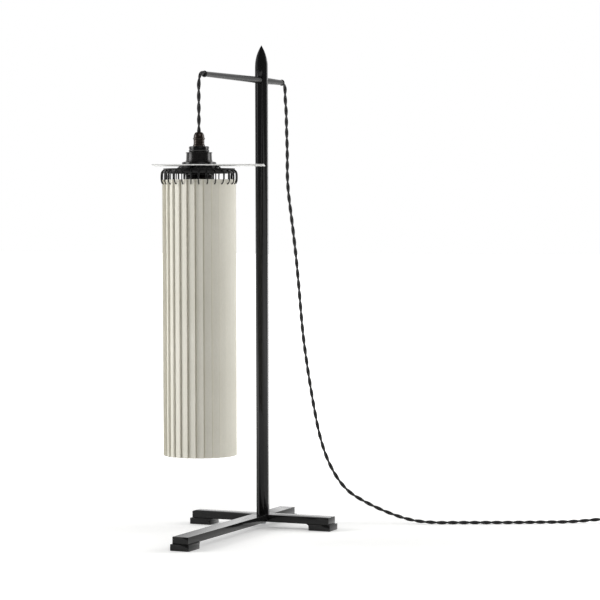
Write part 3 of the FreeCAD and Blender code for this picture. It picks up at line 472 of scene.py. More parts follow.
def satin_lacquer(name, along):
    """Black lacquer over fine grain: a smooth film, with faint pores along the wood.

    The pores are about 1 mm apart across the wood and 17 mm along it.
    """
    stuff, tree, shader = material(name, IOR=1.46, Specular_IOR_Level=0.1, Coat_Weight=0.55,
                                   Coat_IOR=1.38, Coat_Roughness=0.08)
    place = add(tree, "ShaderNodeTexCoord")
    fit = add(tree, "ShaderNodeMapping", {0: place.outputs["Object"]},
              Scale=[PORES_ALONG if axis == along else PORES_ACROSS for axis in "XYZ"])
    pores = add(tree, "ShaderNodeTexNoise", {"Vector": fit.outputs[0]}, Scale=1.0, Detail=3.0,
                Roughness=0.55)
    cloud = add(tree, "ShaderNodeTexNoise", {"Vector": place.outputs["Object"]}, Scale=22.0, Detail=2.0)
    shade = add(tree, "ShaderNodeMix", {0: pores.outputs[0]}, data_type="RGBA",
                _6=linear("#0b0b0b"), _7=linear("#161616"))
    rough = add(tree, "ShaderNodeMapRange", {0: cloud.outputs[0]}, To_Min=0.13, To_Max=0.21)
    bump = add(tree, "ShaderNodeBump", {"Height": pores.outputs[0]}, Strength=0.12, Distance=0.03 * MM)
    tree.links.new(shade.outputs[2], shader.inputs["Base Color"])
    tree.links.new(rough.outputs[0], shader.inputs["Roughness"])
    tree.links.new(bump.outputs[0], shader.inputs["Normal"])
    return stuff


lacquer = {way: satin_lacquer("satin_lacquer_" + way.lower(), way) for way in "XYZ"}
for node, way in (("base_beam_long", "Y"), ("base_beam_cross", "X"), ("foot_front", "Y"),
                  ("foot_back", "Y"), ("foot_left", "X"), ("foot_right", "X")):
    eased(node, lacquer[way], 0.7 * MM, steps=3)
eased("post", lacquer["Z"], 0.5 * MM, angle=20)


def mottled(name, dark, light, spots, detail=2.0, relief=0.0, depth=0.05 * MM, **values):
    """A finish of two close tones in soft spots, so many to a metre, raised by a relief."""
    stuff, tree, shader = material(name, **values)
    place = add(tree, "ShaderNodeTexCoord")
    cloud = add(tree, "ShaderNodeTexNoise", {"Vector": place.outputs["Object"]}, Scale=spots, Detail=detail)
    shade = add(tree, "ShaderNodeMix", {0: cloud.outputs[0]}, data_type="RGBA",
                _6=linear(dark), _7=linear(light))
    tree.links.new(shade.outputs[2], shader.inputs["Base Color"])
    if relief:
        bump = add(tree, "ShaderNodeBump", {"Height": cloud.outputs[0]}, Strength=relief, Distance=depth)
        tree.links.new(bump.outputs[0], shader.inputs["Normal"])
    return stuff


# Dark wool felt: matted fibres, 0.4 mm apart, that break up the edge and scatter light.
felt = mottled("pressed_felt", "#171717", "#3a3a3a", 2500, 4, relief=0.8, depth=0.2 * MM,
               Roughness=0.95, Sheen_Weight=0.3)
for side in ("front", "back", "left", "right"):
    eased("pad_" + side, felt, 0.3 * MM)


def metal(name, code, roughness, grit, grain=(1, 1, 1)):
    """Bare or plated metal, with a fine grain whose direction is the way it was worked."""
    stuff, tree, shader = material(name, Base_Color=linear(code), Metallic=1.0)
    place = add(tree, "ShaderNodeTexCoord")
    fit = add(tree, "ShaderNodeMapping", {0: place.outputs["Object"]}, Scale=grain)
    marks = add(tree, "ShaderNodeTexNoise", {"Vector": fit.outputs[0]}, Scale=1 / grit, Detail=3.0)
    rough = add(tree, "ShaderNodeMapRange", {0: marks.outputs[0]}, To_Min=roughness * 0.75,
                To_Max=roughness * 1.3)
    bump = add(tree, "ShaderNodeBump", {"Height": marks.outputs[0]}, Strength=0.1, Distance=0.05 * MM)
    tree.links.new(rough.outputs[0], shader.inputs["Roughness"])
    tree.links.new(bump.outputs[0], shader.inputs["Normal"])
    return stuff


def carried(stuff, *nodes):
    """Give CAD nodes that show as they are their material."""
    for node in nodes:
        data = frame["nodes"][node].data
        for place in range(len(data.materials)):
            data.materials[place] = stuff
        if not data.materials:
            data.materials.append(stuff)


zinc = metal("zinc_plate", "#b9bcc0", 0.32, 1.2 * MM)
brass = metal("turned_brass", "#c9a45c", 0.25, 0.6 * MM, (1, 1, 12))
for node in ("post_bolt", "post_washer"):
    eased(node, zinc, 0.3 * MM)
carried(zinc, "foot_screws", "switch_screws")
carried(brass, "post_insert", "bulb_contact", "socket_contact")
eased("lock_screw", zinc, 0.15 * MM)

# ---------------------------------------------------------------- crossbar
# A steel tube, swaged thinner to both ends and painted satin dark grey, pushed
# through the post and held by a grub screw. A thin rubber lip guards each end.

ROUND = 72
POST_Y = 98 * MM
BAR_FRONT = -202
BAR_BACK = 76


def lathe(name, profile, body, nodes, stuff, place, sides=ROUND, crease=35):
    """A shape turned about Z from a ring of (radius, height) points in mm, moved into place."""
    mesh = bmesh.new()
    rings = []
    for radius, height in profile:
        turns = spokes(sides) if radius else [(0, 0)]
        rings.append([mesh.verts.new((radius * MM * cosine, radius * MM * sine, height * MM))
                      for cosine, sine in turns])
    for low, high in zip(rings, rings[1:] + rings[:1]):
        if len(low) == 1 and len(high) == 1:
            continue
        for k in range(sides):
            turn = (k + 1) % sides
            corners = [low[k], low[turn]] if len(low) > 1 else [low[0]]
            corners += [high[turn], high[k]] if len(high) > 1 else [high[0]]
            mesh.faces.new(corners)
    bmesh.ops.recalc_face_normals(mesh, faces=mesh.faces)
    mesh.transform(place)
    for face in mesh.faces:
        face.smooth = True
    for edge in mesh.edges:
        edge.smooth = edge.calc_face_angle(0) < math.radians(crease)
    piece = put(name, mesh, body, *nodes)
    piece.data.materials.append(stuff)
    return piece


def painted(name, dark, light, roughness, grit=1.5 * MM, depth=0.03 * MM, strength=0.15, **values):
    """A film on metal: an even tone, slightly uneven gloss and a faint orange peel."""
    stuff, tree, shader = material(name, **values)
    place = add(tree, "ShaderNodeTexCoord")
    peel = add(tree, "ShaderNodeTexNoise", {"Vector": place.outputs["Object"]}, Scale=1 / grit, Detail=2.0)
    worn = add(tree, "ShaderNodeTexNoise", {"Vector": place.outputs["Object"]}, Scale=60.0, Detail=5.0)
    shade = add(tree, "ShaderNodeMix", {0: worn.outputs[0]}, data_type="RGBA",
                _6=linear(dark), _7=linear(light))
    rough = add(tree, "ShaderNodeMapRange", {0: worn.outputs[0]}, To_Min=roughness * 0.85,
                To_Max=roughness * 1.15)
    bump = add(tree, "ShaderNodeBump", {"Height": peel.outputs[0]}, Strength=strength, Distance=depth)
    tree.links.new(shade.outputs[2], shader.inputs["Base Color"])
    tree.links.new(rough.outputs[0], shader.inputs["Roughness"])
    tree.links.new(bump.outputs[0], shader.inputs["Normal"])
    return stuff


# Sprayed dark grey paint: a satin film, as smooth as the drawn tube under it.
bar_paint = painted("bar_paint", "#121211", "#181817", 0.28, 4 * MM, 0.02 * MM, 0.05,
                    Specular_IOR_Level=0.28)
bar_place = Matrix.Translation((0, POST_Y, BAR_LEVEL)) @ Matrix.Rotation(-math.pi / 2, 4, "X")
lathe("crossbar_tube", [
    (2.9, BAR_FRONT), (3.7, BAR_FRONT), (4.0, BAR_FRONT + 0.4), (5.2, -11.4), (5.2, 11.4),
    (4.0, BAR_BACK - 0.4), (3.7, BAR_BACK), (2.9, BAR_BACK)],
    "stand", ["crossbar"], bar_paint, bar_place)

# Moulded black rubber: dull, with a fine bloom in patches of 3 mm.
rubber = mottled("soft_rubber", "#101010", "#1f1f1f", 300, 4, relief=0.2, Roughness=0.6)
LIP = [(2.9, 0.02), (4.2, 0.02), (4.8, 0.4), (5.0, 1.0), (4.8, 1.6), (4.2, 2.0), (3.4, 2.0), (2.9, 1.6)]
for side, end, turn in (("front", BAR_FRONT, 1), ("back", BAR_BACK, -1)):
    place = Matrix.Translation((0, POST_Y + end * MM, BAR_LEVEL)) @ Matrix.Rotation(
        turn * math.pi / 2, 4, "X")
    lathe("bush_" + side + "_lip", LIP, "stand", ["bush_" + side], rubber, place)

# -------------------------------------------------------------- lampholder
# A turned brass screw-cap holder in a dark bronze finish: a domed cord grip over a
# stepped collar, a drum, and a flange and threaded ring that clamp the plate.

# Bronzed brass with a soft shine: brown on the cord grip, nearly black below it.
bronze = painted("dark_bronze", "#1a1411", "#33281f", 0.2, 0.8 * MM, 0.02 * MM, 0.1, Metallic=0.55)
black_bronze = painted("black_bronze", "#0e0d0d", "#1d1b1a", 0.22, 0.8 * MM, 0.02 * MM, 0.1,
                       Metallic=0.45)
hang = Matrix.Translation((0, HANG_Y, 0))
COLLAR_TOP = 594.8
GRIP_TOP = 616.0
DOME_STEPS = 8


def grip_profile():
    """The cord grip: a dome over a bead, then a waist with a fine groove, and a foot."""
    dome = []
    for step in range(DOME_STEPS + 1):
        angle = math.pi / 2 * step / DOME_STEPS
        dome.append((3.4 + 4.7 * math.cos(angle), GRIP_TOP - 8.2 + 8.2 * math.sin(angle)))
    return ([(2.9, COLLAR_TOP), (8.9, COLLAR_TOP), (9.0, COLLAR_TOP + 0.4), (9.0, COLLAR_TOP + 2),
             (8.5, COLLAR_TOP + 2.6), (8.1, COLLAR_TOP + 3), (8.1, COLLAR_TOP + 5.4),
             (7.8, COLLAR_TOP + 5.7), (8.1, COLLAR_TOP + 6), (8.1, GRIP_TOP - 11.6),
             (8.5, GRIP_TOP - 11.2), (8.95, GRIP_TOP - 10.6), (9.0, GRIP_TOP - 9.8),
             (8.9, GRIP_TOP - 9.0), (8.4, GRIP_TOP - 8.5)] + dome + [(2.9, GRIP_TOP - 0.4)])


lathe("grip_dome", grip_profile(), "shade", ["cord_grip"], bronze, hang)
lathe("collar_drum", [
    (5, 586), (15, 586), (15.2, 586.3), (15.2, 589.6), (14.9, 589.9), (14.4, 590.1), (14.3, 590.7),
    (14.5, 591), (15.0, 591.2), (15.0, 593.6), (14.7, 594.3), (13.9, 594.8), (5, 594.8)],
    "shade", ["holder_collar"], black_bronze, hang)
lathe("holder_drum", [
    (15.5, 547.9), (19, 547.9), (19, 572.2), (19.7, 572.2), (20, 572.5), (20, 573.7),
    (19.6, 574.1), (19.3, 574.3), (18.9, 584.0), (19.1, 584.3), (19.6, 584.5), (19.6, 585.6),
    (19.2, 586), (5, 586), (5, 584), (15.5, 584)],
    "shade", ["holder_body"], black_bronze, hang)
lathe("flange_ring", [
    (19.2, 567.5), (24.8, 567.5), (25.4, 567.8), (25.5, 568.4), (25.5, 570.4), (25.2, 571.1),
    (24.3, 571.6), (22, 572.1), (19.2, 572.2)],
    "shade", ["holder_flange"], black_bronze, hang)


def nut_profile():
    """The threaded ring: a broad flange over a flared skirt with four turned grooves."""
    points = [(19.2, 545.9), (19.9, 545.9), (20.2, 546.2), (20.4, 551.8)]
    for step in range(4):
        low = 552.2 + step * 2.2
        reach = 20.6 + step * 0.55
        points += [(reach, low), (reach + 0.5, low + 0.3), (reach + 0.5, low + 1.5),
                   (reach, low + 1.8)]
    return points + [(24.2, 561.2), (27.2, 561.6), (28.3, 562.2), (28.5, 562.8), (28.5, 564.3),
                     (28.0, 564.8), (19.2, 564.9)]


lathe("shade_nut", nut_profile(), "shade", ["holder_nut"], black_bronze, hang)

# --------------------------------------------------------------- top plate
# A thin rectangle of white acrylic, sawn and flame polished, clamped between the
# holder's flange and its ring, just above the shade.


def white_acrylic():
    """White acrylic: even body colour, a soft polish and a few fine rub marks."""
    stuff, tree, shader = material("white_acrylic", IOR=1.49)
    place = add(tree, "ShaderNodeTexCoord")
    rub = add(tree, "ShaderNodeTexNoise", {"Vector": place.outputs["Object"]}, Scale=90.0, Detail=6.0)
    rough = add(tree, "ShaderNodeMapRange", {0: rub.outputs[0]}, To_Min=0.25, To_Max=0.42)
    shade = add(tree, "ShaderNodeMix", {0: rub.outputs[0]}, data_type="RGBA",
                _6=linear("#eeeeec"), _7=linear("#f6f6f4"))
    tree.links.new(shade.outputs[2], shader.inputs["Base Color"])
    tree.links.new(rough.outputs[0], shader.inputs["Roughness"])
    return stuff


eased("top_plate", white_acrylic(), 0.25 * MM)

# ---------------------------------------------------------- bulb and socket
# A clear globe bulb with a nickel screw cap and four coated filaments, in a
# threaded shell under a glazed porcelain disc.


def thin_glass():
    """Clear blown glass, thin enough to look through without bending the view."""
    stuff, tree, shader = material("thin_glass", Base_Color=linear("#fbfbf8"),
                                   Transmission_Weight=1.0, IOR=1.45)
    place = add(tree, "ShaderNodeTexCoord")
    seeds = add(tree, "ShaderNodeTexNoise", {"Vector": place.outputs["Object"]}, Scale=120.0)
    rough = add(tree, "ShaderNodeMapRange", {0: seeds.outputs[0]}, To_Min=0.0, To_Max=0.04)
    tree.links.new(rough.outputs[0], shader.inputs["Roughness"])
    return stuff


CAP_BOTTOM = 546.9
GLOBE = 22.5
GLOBE_MIDDLE = CAP_BOTTOM - 4 - GLOBE
GLOBE_NECK = 12.0
GLOBE_STEPS = 18
NECK_ANGLE = 57.8
GLASS_WALL = 0.8


def globe_profile():
    """Outside of the neck and globe, then back up the inside of the thin wall."""
    walls = []
    for inset in (0, GLASS_WALL):
        wall = [(GLOBE_NECK - inset, CAP_BOTTOM + 8), (GLOBE_NECK - inset, CAP_BOTTOM)]
        for step in range(GLOBE_STEPS):
            angle = math.radians(NECK_ANGLE - step * (NECK_ANGLE + 90) / GLOBE_STEPS)
            wall.append(((GLOBE - inset) * math.cos(angle),
                         GLOBE_MIDDLE + (GLOBE - inset) * math.sin(angle)))
        walls.append(wall + [(0, GLOBE_MIDDLE - GLOBE + inset)])
    return walls[0] + walls[1][::-1]


glass = thin_glass()
lathe("bulb_globe", globe_profile(), "shade", ["bulb_glass"], glass, hang, 64, 60)
eased("bulb_stem", glass, 0.15 * MM)

# A yellow phosphor coat on each filament strip, slightly grainy.
phosphor = mottled("coated_filament", "#c99a35", "#e7c05f", 1500, Roughness=0.55)
eased("bulb_filaments", phosphor, 0.25 * MM, 3)


def cap_profile():
    """The screw cap's rolled thread, which the shell's thread follows."""
    points = [(12.2, CAP_BOTTOM), (12.6, CAP_BOTTOM)]
    for step in range(11):
        points.append((13.2 if step % 2 else 12.4, CAP_BOTTOM + 1.6 + step * 1.7))
    return points + [(12.6, CAP_BOTTOM + 19.6), (5.6, CAP_BOTTOM + 24), (4.5, CAP_BOTTOM + 24),
                     (12.0, CAP_BOTTOM + 18.4)]


nickel = metal("nickel_plate", "#c6c4bf", 0.2, 0.8 * MM)
lathe("bulb_cap_thread", cap_profile(), "shade", ["bulb_cap"], nickel, hang, 48, 50)
eased("socket_shell", nickel, 0.1 * MM)

# White porcelain, faintly uneven under a thick clear glaze.
porcelain = mottled("glazed_porcelain", "#e6e3da", "#f2f0ea", 150, Roughness=0.15, Coat_Weight=0.6)
eased("socket_core", porcelain, 0.4 * MM)

# ------------------------------------------------- hoop, spider and rings
# A flat steel band, drilled once for each pleat and painted black, on a pressed
# four-armed spider. Bent wire rings link its holes to the holes in the paper.

PLEATS = 28
# Stoved black paint: satin, and dark even where the light strikes it.
wire_paint = painted("wire_paint", "#050505", "#0c0c0c", 0.35, Specular_IOR_Level=0.2)
eased("shade_hoop", wire_paint, 0.12 * MM, 1)

SPIDER_ARMS = 4
ARM_WIDTH = 6 * MM
ARM_OUTLINE = [(24, 565.9), (29.6, 565.9), (35.6, 561.4), (51.2, 561.4), (51.9, 560.7),
               (51.9, 555.2), (50.9, 555.2), (50.9, 560.4), (35.2, 560.4), (29.2, 564.9), (24, 564.9)]
HUB_OUTLINE = [(19.2, 564.9), (27, 564.9), (27, 565.9), (19.2, 565.9)]


def joggled_spider():
    """A flat hub, and four strips that step down from it to the inside of the hoop."""
    mesh = bmesh.new()
    for arm in range(SPIDER_ARMS):
        turn = Matrix.Rotation(2 * math.pi * (arm / SPIDER_ARMS + 0.5 / PLEATS), 4, "Z")
        sides = [[mesh.verts.new(hang @ turn @ Vector((reach * MM, side * ARM_WIDTH / 2, level * MM)))
                  for reach, level in ARM_OUTLINE] for side in (-1, 1)]
        for near in range(len(ARM_OUTLINE)):
            far = (near + 1) % len(ARM_OUTLINE)
            mesh.faces.new((sides[0][near], sides[0][far], sides[1][far], sides[1][near]))
        mesh.faces.new(sides[0][::-1])
        mesh.faces.new(sides[1])
    bmesh.ops.recalc_face_normals(mesh, faces=mesh.faces)
    return mesh


spider = put("joggled_spider", joggled_spider(), "shade", "shade_spider")
spider.data.materials.append(wire_paint)
lathe("spider_hub", HUB_OUTLINE, "shade", [], wire_paint, hang)

RING_SIZES = {"Count": PLEATS, "Hoop Radius": 52.7 * MM, "Half Width": 4.2 * MM, "Top": 559.2 * MM,
              "Foot": 538.7 * MM, "Wire": 0.85 * MM, "Hang": HANG_Y}
RING_SWAY = math.radians(32)


def group(name, sizes):
    """A geometry tree with an input for each size. Returns the tree, its inputs and its output."""
    tree = bpy.data.node_groups.new(name, "GeometryNodeTree")
    tree.interface.new_socket("Geometry", in_out="OUTPUT", socket_type="NodeSocketGeometry")
    for label, size in sizes.items():
        kind = "NodeSocketInt" if isinstance(size, int) else "NodeSocketFloat"
        tree.interface.new_socket(label, in_out="INPUT", socket_type=kind)
    return tree, tree.nodes.new("NodeGroupInput"), tree.nodes.new("NodeGroupOutput")


def around_hang(tree, angle, radius, hang_y):
    """The X and Y of places at an angle and a radius about the line that the shade hangs on."""
    cosine = add(tree, "ShaderNodeMath", {0: angle}, operation="COSINE")
    sine = add(tree, "ShaderNodeMath", {0: angle}, operation="SINE")
    x = add(tree, "ShaderNodeMath", {0: cosine.outputs[0], 1: radius}, operation="MULTIPLY")
    y = add(tree, "ShaderNodeMath", {0: sine.outputs[0], 1: radius}, operation="MULTIPLY")
    hung = add(tree, "ShaderNodeMath", {0: y.outputs[0], 1: hang_y})
    return x.outputs[0], hung.outputs[0]


def grown(name, tree, body, node, sizes):
    """Run a geometry tree at its sizes, and keep the result as a plain mesh in a node's place."""
    seed = bpy.data.objects.new(name + "_seed", bpy.data.meshes.new(name + "_seed"))
    scene.collection.objects.link(seed)
    modifier = seed.modifiers.new("grow", "NODES")
    modifier.node_group = tree
    for socket in tree.interface.items_tree:
        if socket.in_out == "INPUT":
            modifier[socket.identifier] = sizes[socket.name]
    evaluated = seed.evaluated_get(bpy.context.evaluated_depsgraph_get())
    data = bpy.data.meshes.new_from_object(evaluated)
    data.name = name
    bpy.data.objects.remove(seed)
    piece = bpy.data.objects.new(name, data)
    scene.collection.objects.link(piece)
    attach(piece, body)
    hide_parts(node)
    return piece


def wire_rings():
    """A long ring, drawn as a squared circle, one for each pleat, each hanging a little askew."""
    tree, given, result = group("wire_rings", RING_SIZES)
    circle = add(tree, "GeometryNodeCurvePrimitiveCircle", mode="RADIUS", Resolution=32, Radius=1.0)
    place = add(tree, "GeometryNodeInputPosition")
    parts = add(tree, "ShaderNodeSeparateXYZ", {0: place.outputs[0]})
    wide = add(tree, "ShaderNodeMath", {0: parts.outputs[0], 1: given.outputs["Half Width"]},
               operation="MULTIPLY")
    sign = add(tree, "ShaderNodeMath", {0: parts.outputs[1]}, operation="SIGN")
    size = add(tree, "ShaderNodeMath", {0: parts.outputs[1]}, operation="ABSOLUTE")
    full = add(tree, "ShaderNodeMath", {0: size.outputs[0]}, operation="POWER", _1=0.72)
    push = add(tree, "ShaderNodeMath", {0: full.outputs[0], 1: sign.outputs[0]}, operation="MULTIPLY")
    level = add(tree, "ShaderNodeMapRange", {0: push.outputs[0], 3: given.outputs["Foot"],
                                             4: given.outputs["Top"]}, From_Min=-1.0)
    spot = add(tree, "ShaderNodeCombineXYZ", {0: wide.outputs[0], 2: level.outputs[0]})
    shaped = add(tree, "GeometryNodeSetPosition", {0: circle.outputs[0], 2: spot.outputs[0]})
    section = add(tree, "GeometryNodeCurvePrimitiveCircle", {"Radius": given.outputs["Wire"]},
                  mode="RADIUS", Resolution=8)
    ring = add(tree, "GeometryNodeCurveToMesh", {0: shaped.outputs[0], 1: section.outputs[0]})
    index = add(tree, "GeometryNodeInputIndex")
    share = add(tree, "ShaderNodeMath", {0: index.outputs[0], 1: given.outputs["Count"]},
                operation="DIVIDE")
    angle = add(tree, "ShaderNodeMath", {0: share.outputs[0]}, operation="MULTIPLY", _1=2 * math.pi)
    x, y = around_hang(tree, angle.outputs[0], given.outputs["Hoop Radius"], given.outputs["Hang"])
    middle = add(tree, "ShaderNodeCombineXYZ", {0: x, 1: y})
    points = add(tree, "GeometryNodeMeshLine", {"Count": given.outputs["Count"]})
    spots = add(tree, "GeometryNodeSetPosition", {0: points.outputs[0], 2: middle.outputs[0]})
    sway = add(tree, "FunctionNodeRandomValue", data_type="FLOAT", _2=-RING_SWAY, _3=RING_SWAY, Seed=4)
    facing = add(tree, "ShaderNodeMath", {0: angle.outputs[0], 1: sway.outputs[1]})
    turns = add(tree, "ShaderNodeCombineXYZ", {2: facing.outputs[0]})
    swung = add(tree, "GeometryNodeInstanceOnPoints", {0: spots.outputs[0], 2: ring.outputs[0],
                                                       5: turns.outputs[0]})
    real = add(tree, "GeometryNodeRealizeInstances", {0: swung.outputs[0]})
    smooth = add(tree, "GeometryNodeSetShadeSmooth", {0: real.outputs[0]})
    coated = add(tree, "GeometryNodeSetMaterial", {0: smooth.outputs[0]}, Material=wire_paint)
    tree.links.new(coated.outputs[0], result.inputs[0])
    return tree


rings = grown("wire_rings", wire_rings(), "shade", "hanging_rings", RING_SIZES)

# ------------------------------------------------------------ pleated shade
# Heavy cream paper, scored and knife-pleated by hand into a long tube: a broad face,
# a sharp fold, and a narrow return that tucks under the next face.

FACE_TURN = math.radians(10.6)
PLEAT_SIZES = {"Pleats": PLEATS, "Radius": 54.9 * MM, "Face Rise": 2.8 * MM, "Groove": 5.0 * MM,
               "Face Turn": FACE_TURN, "Drop Turn": math.radians(0.15), "Top": 545.5 * MM,
               "Length": 410 * MM, "Hang": HANG_Y, "Wander": 0.6 * MM}
FOLD_PLACE = math.radians(5.98)
FACE_STEPS = 8
DROP_STEPS = 2
RISE_STEPS = 2
ROWS = 60
PAPER = 0.35 * MM
WANDER_FIT = (7.3, 5.0, 1.0)  # noise between one pleat and the next, and over a metre down
EDGE_SLIP = 0.0005  # share of a pleat that keeps its first column from counting with the last


def pleats():
    """A grid whose columns are folded round the tube, one share of them for each pleat."""
    tree, given, result = group("pleats", PLEAT_SIZES)
    steps = FACE_STEPS + DROP_STEPS + RISE_STEPS
    grid = add(tree, "GeometryNodeMeshGrid", Size_X=1.0, Size_Y=1.0,
               Vertices_X=PLEATS * steps + 1, Vertices_Y=ROWS + 1)
    place = add(tree, "GeometryNodeInputPosition")
    parts = add(tree, "ShaderNodeSeparateXYZ", {0: place.outputs[0]})
    along = add(tree, "ShaderNodeMath", {0: parts.outputs[0]}, _1=0.5)
    count = add(tree, "ShaderNodeMath", {0: along.outputs[0], 1: given.outputs["Pleats"]},
                operation="MULTIPLY")
    nudged = add(tree, "ShaderNodeMath", {0: count.outputs[0]}, _1=EDGE_SLIP)
    whole = add(tree, "ShaderNodeMath", {0: nudged.outputs[0]}, operation="FLOOR")
    part = add(tree, "ShaderNodeMath", {0: count.outputs[0], 1: whole.outputs[0]}, operation="SUBTRACT")
    pitch = add(tree, "ShaderNodeMath", {1: given.outputs["Pleats"]}, operation="DIVIDE", _0=2 * math.pi)
    fold_at = FACE_STEPS / steps
    foot_at = (FACE_STEPS + DROP_STEPS) / steps
    face = add(tree, "ShaderNodeMapRange", {0: part.outputs[0]}, From_Max=fold_at)
    drop = add(tree, "ShaderNodeMapRange", {0: part.outputs[0]}, From_Min=fold_at, From_Max=foot_at)
    back = add(tree, "ShaderNodeMapRange", {0: part.outputs[0]}, From_Min=foot_at, From_Max=1.0)
    rest = add(tree, "ShaderNodeMath", {0: pitch.outputs[0], 1: given.outputs["Face Turn"]},
               operation="SUBTRACT")
    last = add(tree, "ShaderNodeMath", {0: rest.outputs[0], 1: given.outputs["Drop Turn"]},
               operation="SUBTRACT")
    over = add(tree, "ShaderNodeMath", {0: face.outputs[0], 1: given.outputs["Face Turn"]},
               operation="MULTIPLY")
    under = add(tree, "ShaderNodeMath", {0: drop.outputs[0], 1: given.outputs["Drop Turn"],
                                         2: over.outputs[0]}, operation="MULTIPLY_ADD")
    local = add(tree, "ShaderNodeMath", {0: back.outputs[0], 1: last.outputs[0],
                                         2: under.outputs[0]}, operation="MULTIPLY_ADD")
    base = add(tree, "ShaderNodeMath", {0: whole.outputs[0], 1: pitch.outputs[0],
                                        2: local.outputs[0]}, operation="MULTIPLY_ADD")
    angle = add(tree, "ShaderNodeMath", {0: base.outputs[0]}, _1=FOLD_PLACE - FACE_TURN)
    climb = add(tree, "ShaderNodeMath", {0: given.outputs["Groove"], 1: given.outputs["Face Rise"]},
                operation="SUBTRACT")
    low = add(tree, "ShaderNodeMath", {0: given.outputs["Radius"], 1: given.outputs["Face Rise"]},
              operation="SUBTRACT")
    up = add(tree, "ShaderNodeMath", {0: face.outputs[0], 1: given.outputs["Face Rise"],
                                      2: low.outputs[0]}, operation="MULTIPLY_ADD")
    sunk = add(tree, "ShaderNodeMath", {0: drop.outputs[0], 1: given.outputs["Groove"]},
               operation="MULTIPLY")
    down_in = add(tree, "ShaderNodeMath", {0: up.outputs[0], 1: sunk.outputs[0]}, operation="SUBTRACT")
    radius = add(tree, "ShaderNodeMath", {0: back.outputs[0], 1: climb.outputs[0],
                                          2: down_in.outputs[0]}, operation="MULTIPLY_ADD")
    rise = add(tree, "ShaderNodeMath", {0: face.outputs[0], 1: back.outputs[0]}, operation="SUBTRACT")
    level = add(tree, "ShaderNodeMath", {0: parts.outputs[1]}, _1=-0.5)
    down = add(tree, "ShaderNodeMath", {0: level.outputs[0], 1: given.outputs["Length"]},
               operation="MULTIPLY")
    height = add(tree, "ShaderNodeMath", {0: down.outputs[0], 1: given.outputs["Top"]})
    # Each fold wanders a little on its own way down, and more towards the free lower edge.
    seedling = add(tree, "ShaderNodeCombineXYZ", {0: whole.outputs[0], 1: height.outputs[0]})
    fitted = add(tree, "ShaderNodeVectorMath", {0: seedling.outputs[0]}, operation="MULTIPLY",
                 _1=WANDER_FIT)
    noise = add(tree, "ShaderNodeTexNoise", {"Vector": fitted.outputs[0]}, Scale=1.0, Detail=1.0)
    centred = add(tree, "ShaderNodeMath", {0: noise.outputs[0]}, operation="SUBTRACT", _1=0.5)
    wander = add(tree, "ShaderNodeMath", {0: centred.outputs[0], 1: given.outputs["Wander"]},
                 operation="MULTIPLY")
    crown = add(tree, "ShaderNodeMath", {0: rise.outputs[0], 1: wander.outputs[0]}, operation="MULTIPLY")
    eased_radius = add(tree, "ShaderNodeMath", {0: radius.outputs[0], 1: crown.outputs[0]})
    x, y = around_hang(tree, angle.outputs[0], eased_radius.outputs[0], given.outputs["Hang"])
    spot = add(tree, "ShaderNodeCombineXYZ", {0: x, 1: y, 2: height.outputs[0]})
    folded = add(tree, "GeometryNodeSetPosition", {0: grid.outputs[0], 2: spot.outputs[0]})
    joined = add(tree, "GeometryNodeMergeByDistance", {0: folded.outputs[0]}, Distance=0.02 * MM)
    coated = add(tree, "GeometryNodeSetMaterial", {0: joined.outputs[0]}, Material=paper)
    tree.links.new(coated.outputs[0], result.inputs[0])
    return tree


def cream_paper():
    """Heavy uncoated paper: a warm cream body, a faint tooth, and soft fibres 6 mm long."""
    stuff, tree, shader = material("cream_paper", Roughness=0.88, Specular_IOR_Level=0.25)
    place = add(tree, "ShaderNodeTexCoord")
    fit = add(tree, "ShaderNodeMapping", {0: place.outputs["Object"]}, Scale=(700, 700, 160))
    fibre = add(tree, "ShaderNodeTexNoise", {"Vector": fit.outputs[0]}, Scale=1.0, Detail=5.0,
                Roughness=0.6)
    cloud = add(tree, "ShaderNodeTexNoise", {"Vector": place.outputs["Object"]}, Scale=14.0, Detail=3.0)
    both = add(tree, "ShaderNodeMath", {0: fibre.outputs[0], 1: cloud.outputs[0]})
    ramp = add(tree, "ShaderNodeMapRange", {0: both.outputs[0]}, From_Min=0.5, From_Max=1.5)
    shade = add(tree, "ShaderNodeMix", {0: ramp.outputs[0]}, data_type="RGBA",
                _6=linear("#dad7ca"), _7=linear("#e7e4d9"))
    bump = add(tree, "ShaderNodeBump", {"Height": fibre.outputs[0]}, Strength=0.25, Distance=0.12 * MM)
    tree.links.new(shade.outputs[2], shader.inputs["Base Color"])
    tree.links.new(bump.outputs[0], shader.inputs["Normal"])
    return stuff


paper = cream_paper()
shade = grown("paper_pleats", pleats(), "shade", "pleated_shade", PLEAT_SIZES)
solid = bmesh.new()
solid.from_mesh(shade.data)
bmesh.ops.recalc_face_normals(solid, faces=solid.faces)
solid.to_mesh(shade.data)
solid.free()
wall = shade.modifiers.new("paper", "SOLIDIFY")
wall.thickness = PAPER
wall.offset = -1

# -------------------------------------------------------- switch and plug
# A two-part inline switch with a rocker, screwed together from below, and a flat
# two-pin plug with a ribbed sleeve: both moulded in black, with a fine spark grain.


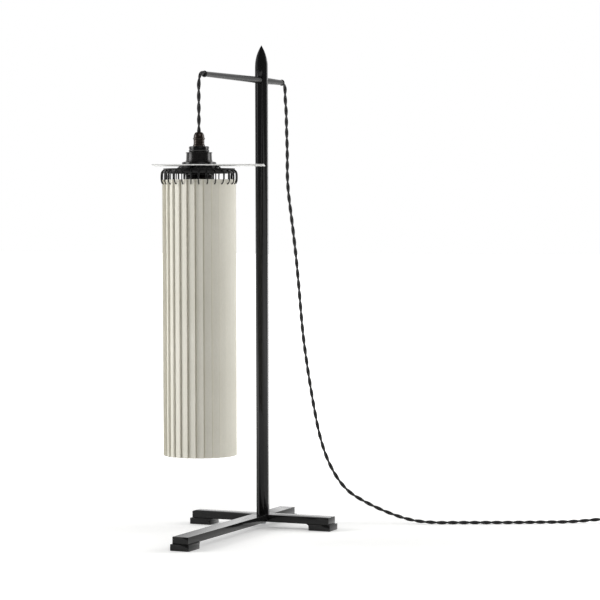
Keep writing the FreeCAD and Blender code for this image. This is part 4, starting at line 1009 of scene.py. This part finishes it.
def moulded_black():
    """Black moulded plastic with a fine spark-eroded grain."""
    stuff, tree, shader = material("moulded_black")
    place = add(tree, "ShaderNodeTexCoord")
    grain = add(tree, "ShaderNodeTexNoise", {"Vector": place.outputs["Object"]}, Scale=2200.0, Detail=2.0)
    worn = add(tree, "ShaderNodeTexNoise", {"Vector": place.outputs["Object"]}, Scale=70.0, Detail=4.0)
    shade = add(tree, "ShaderNodeMix", {0: worn.outputs[0]}, data_type="RGBA",
                _6=linear("#121213"), _7=linear("#1e1e1f"))
    rough = add(tree, "ShaderNodeMapRange", {0: worn.outputs[0]}, To_Min=0.38, To_Max=0.52)
    bump = add(tree, "ShaderNodeBump", {"Height": grain.outputs[0]}, Strength=0.25, Distance=0.05 * MM)
    tree.links.new(shade.outputs[2], shader.inputs["Base Color"])
    tree.links.new(rough.outputs[0], shader.inputs["Roughness"])
    tree.links.new(bump.outputs[0], shader.inputs["Normal"])
    return stuff


moulded = moulded_black()
switch_case = [eased("switch_base", moulded, 0.5 * MM, 3),
               eased("switch_cover", moulded, 0.6 * MM, 3)]
switch_rocker = eased("switch_rocker", moulded, 0.35 * MM, 3)
plug_body = eased("plug_body", moulded, 1.0 * MM, 4)
plug_pins = eased("plug_pins", nickel, 0.5 * MM, 3)

SLEEVE_LENGTH = 16
SLEEVE_RIBS = 6
RIB_PITCH = 2.4
RIB_DEPTH = 0.5
plug_way = (LEAD_ROUTE[-1] - LEAD_ROUTE[-2]).normalized()
plug_place = Matrix.Translation(LEAD_ROUTE[-1]) @ plug_way.to_track_quat("Z", "Y").to_matrix().to_4x4()


def ribbed_sleeve():
    """The plug's sleeve: a taper from 6 to 10 mm across with raised ribs."""
    points = [(2.75, 0), (3.2, 0)]
    for rib in range(SLEEVE_RIBS):
        low = 0.6 + rib * RIB_PITCH
        radius = 3.1 + 2.0 * low / SLEEVE_LENGTH
        points += [(radius, low), (radius + 0.1, low + 1.5), (radius - RIB_DEPTH, low + 1.6),
                   (radius - RIB_DEPTH, low + 2.3)]
    return points + [(5.2, SLEEVE_LENGTH - 0.8), (5.2, SLEEVE_LENGTH), (2.75, SLEEVE_LENGTH)]


plug_sleeve = lathe("plug_sleeve", ribbed_sleeve(), "stand", ["plug_relief"], rubber,
                    plug_place, 48)
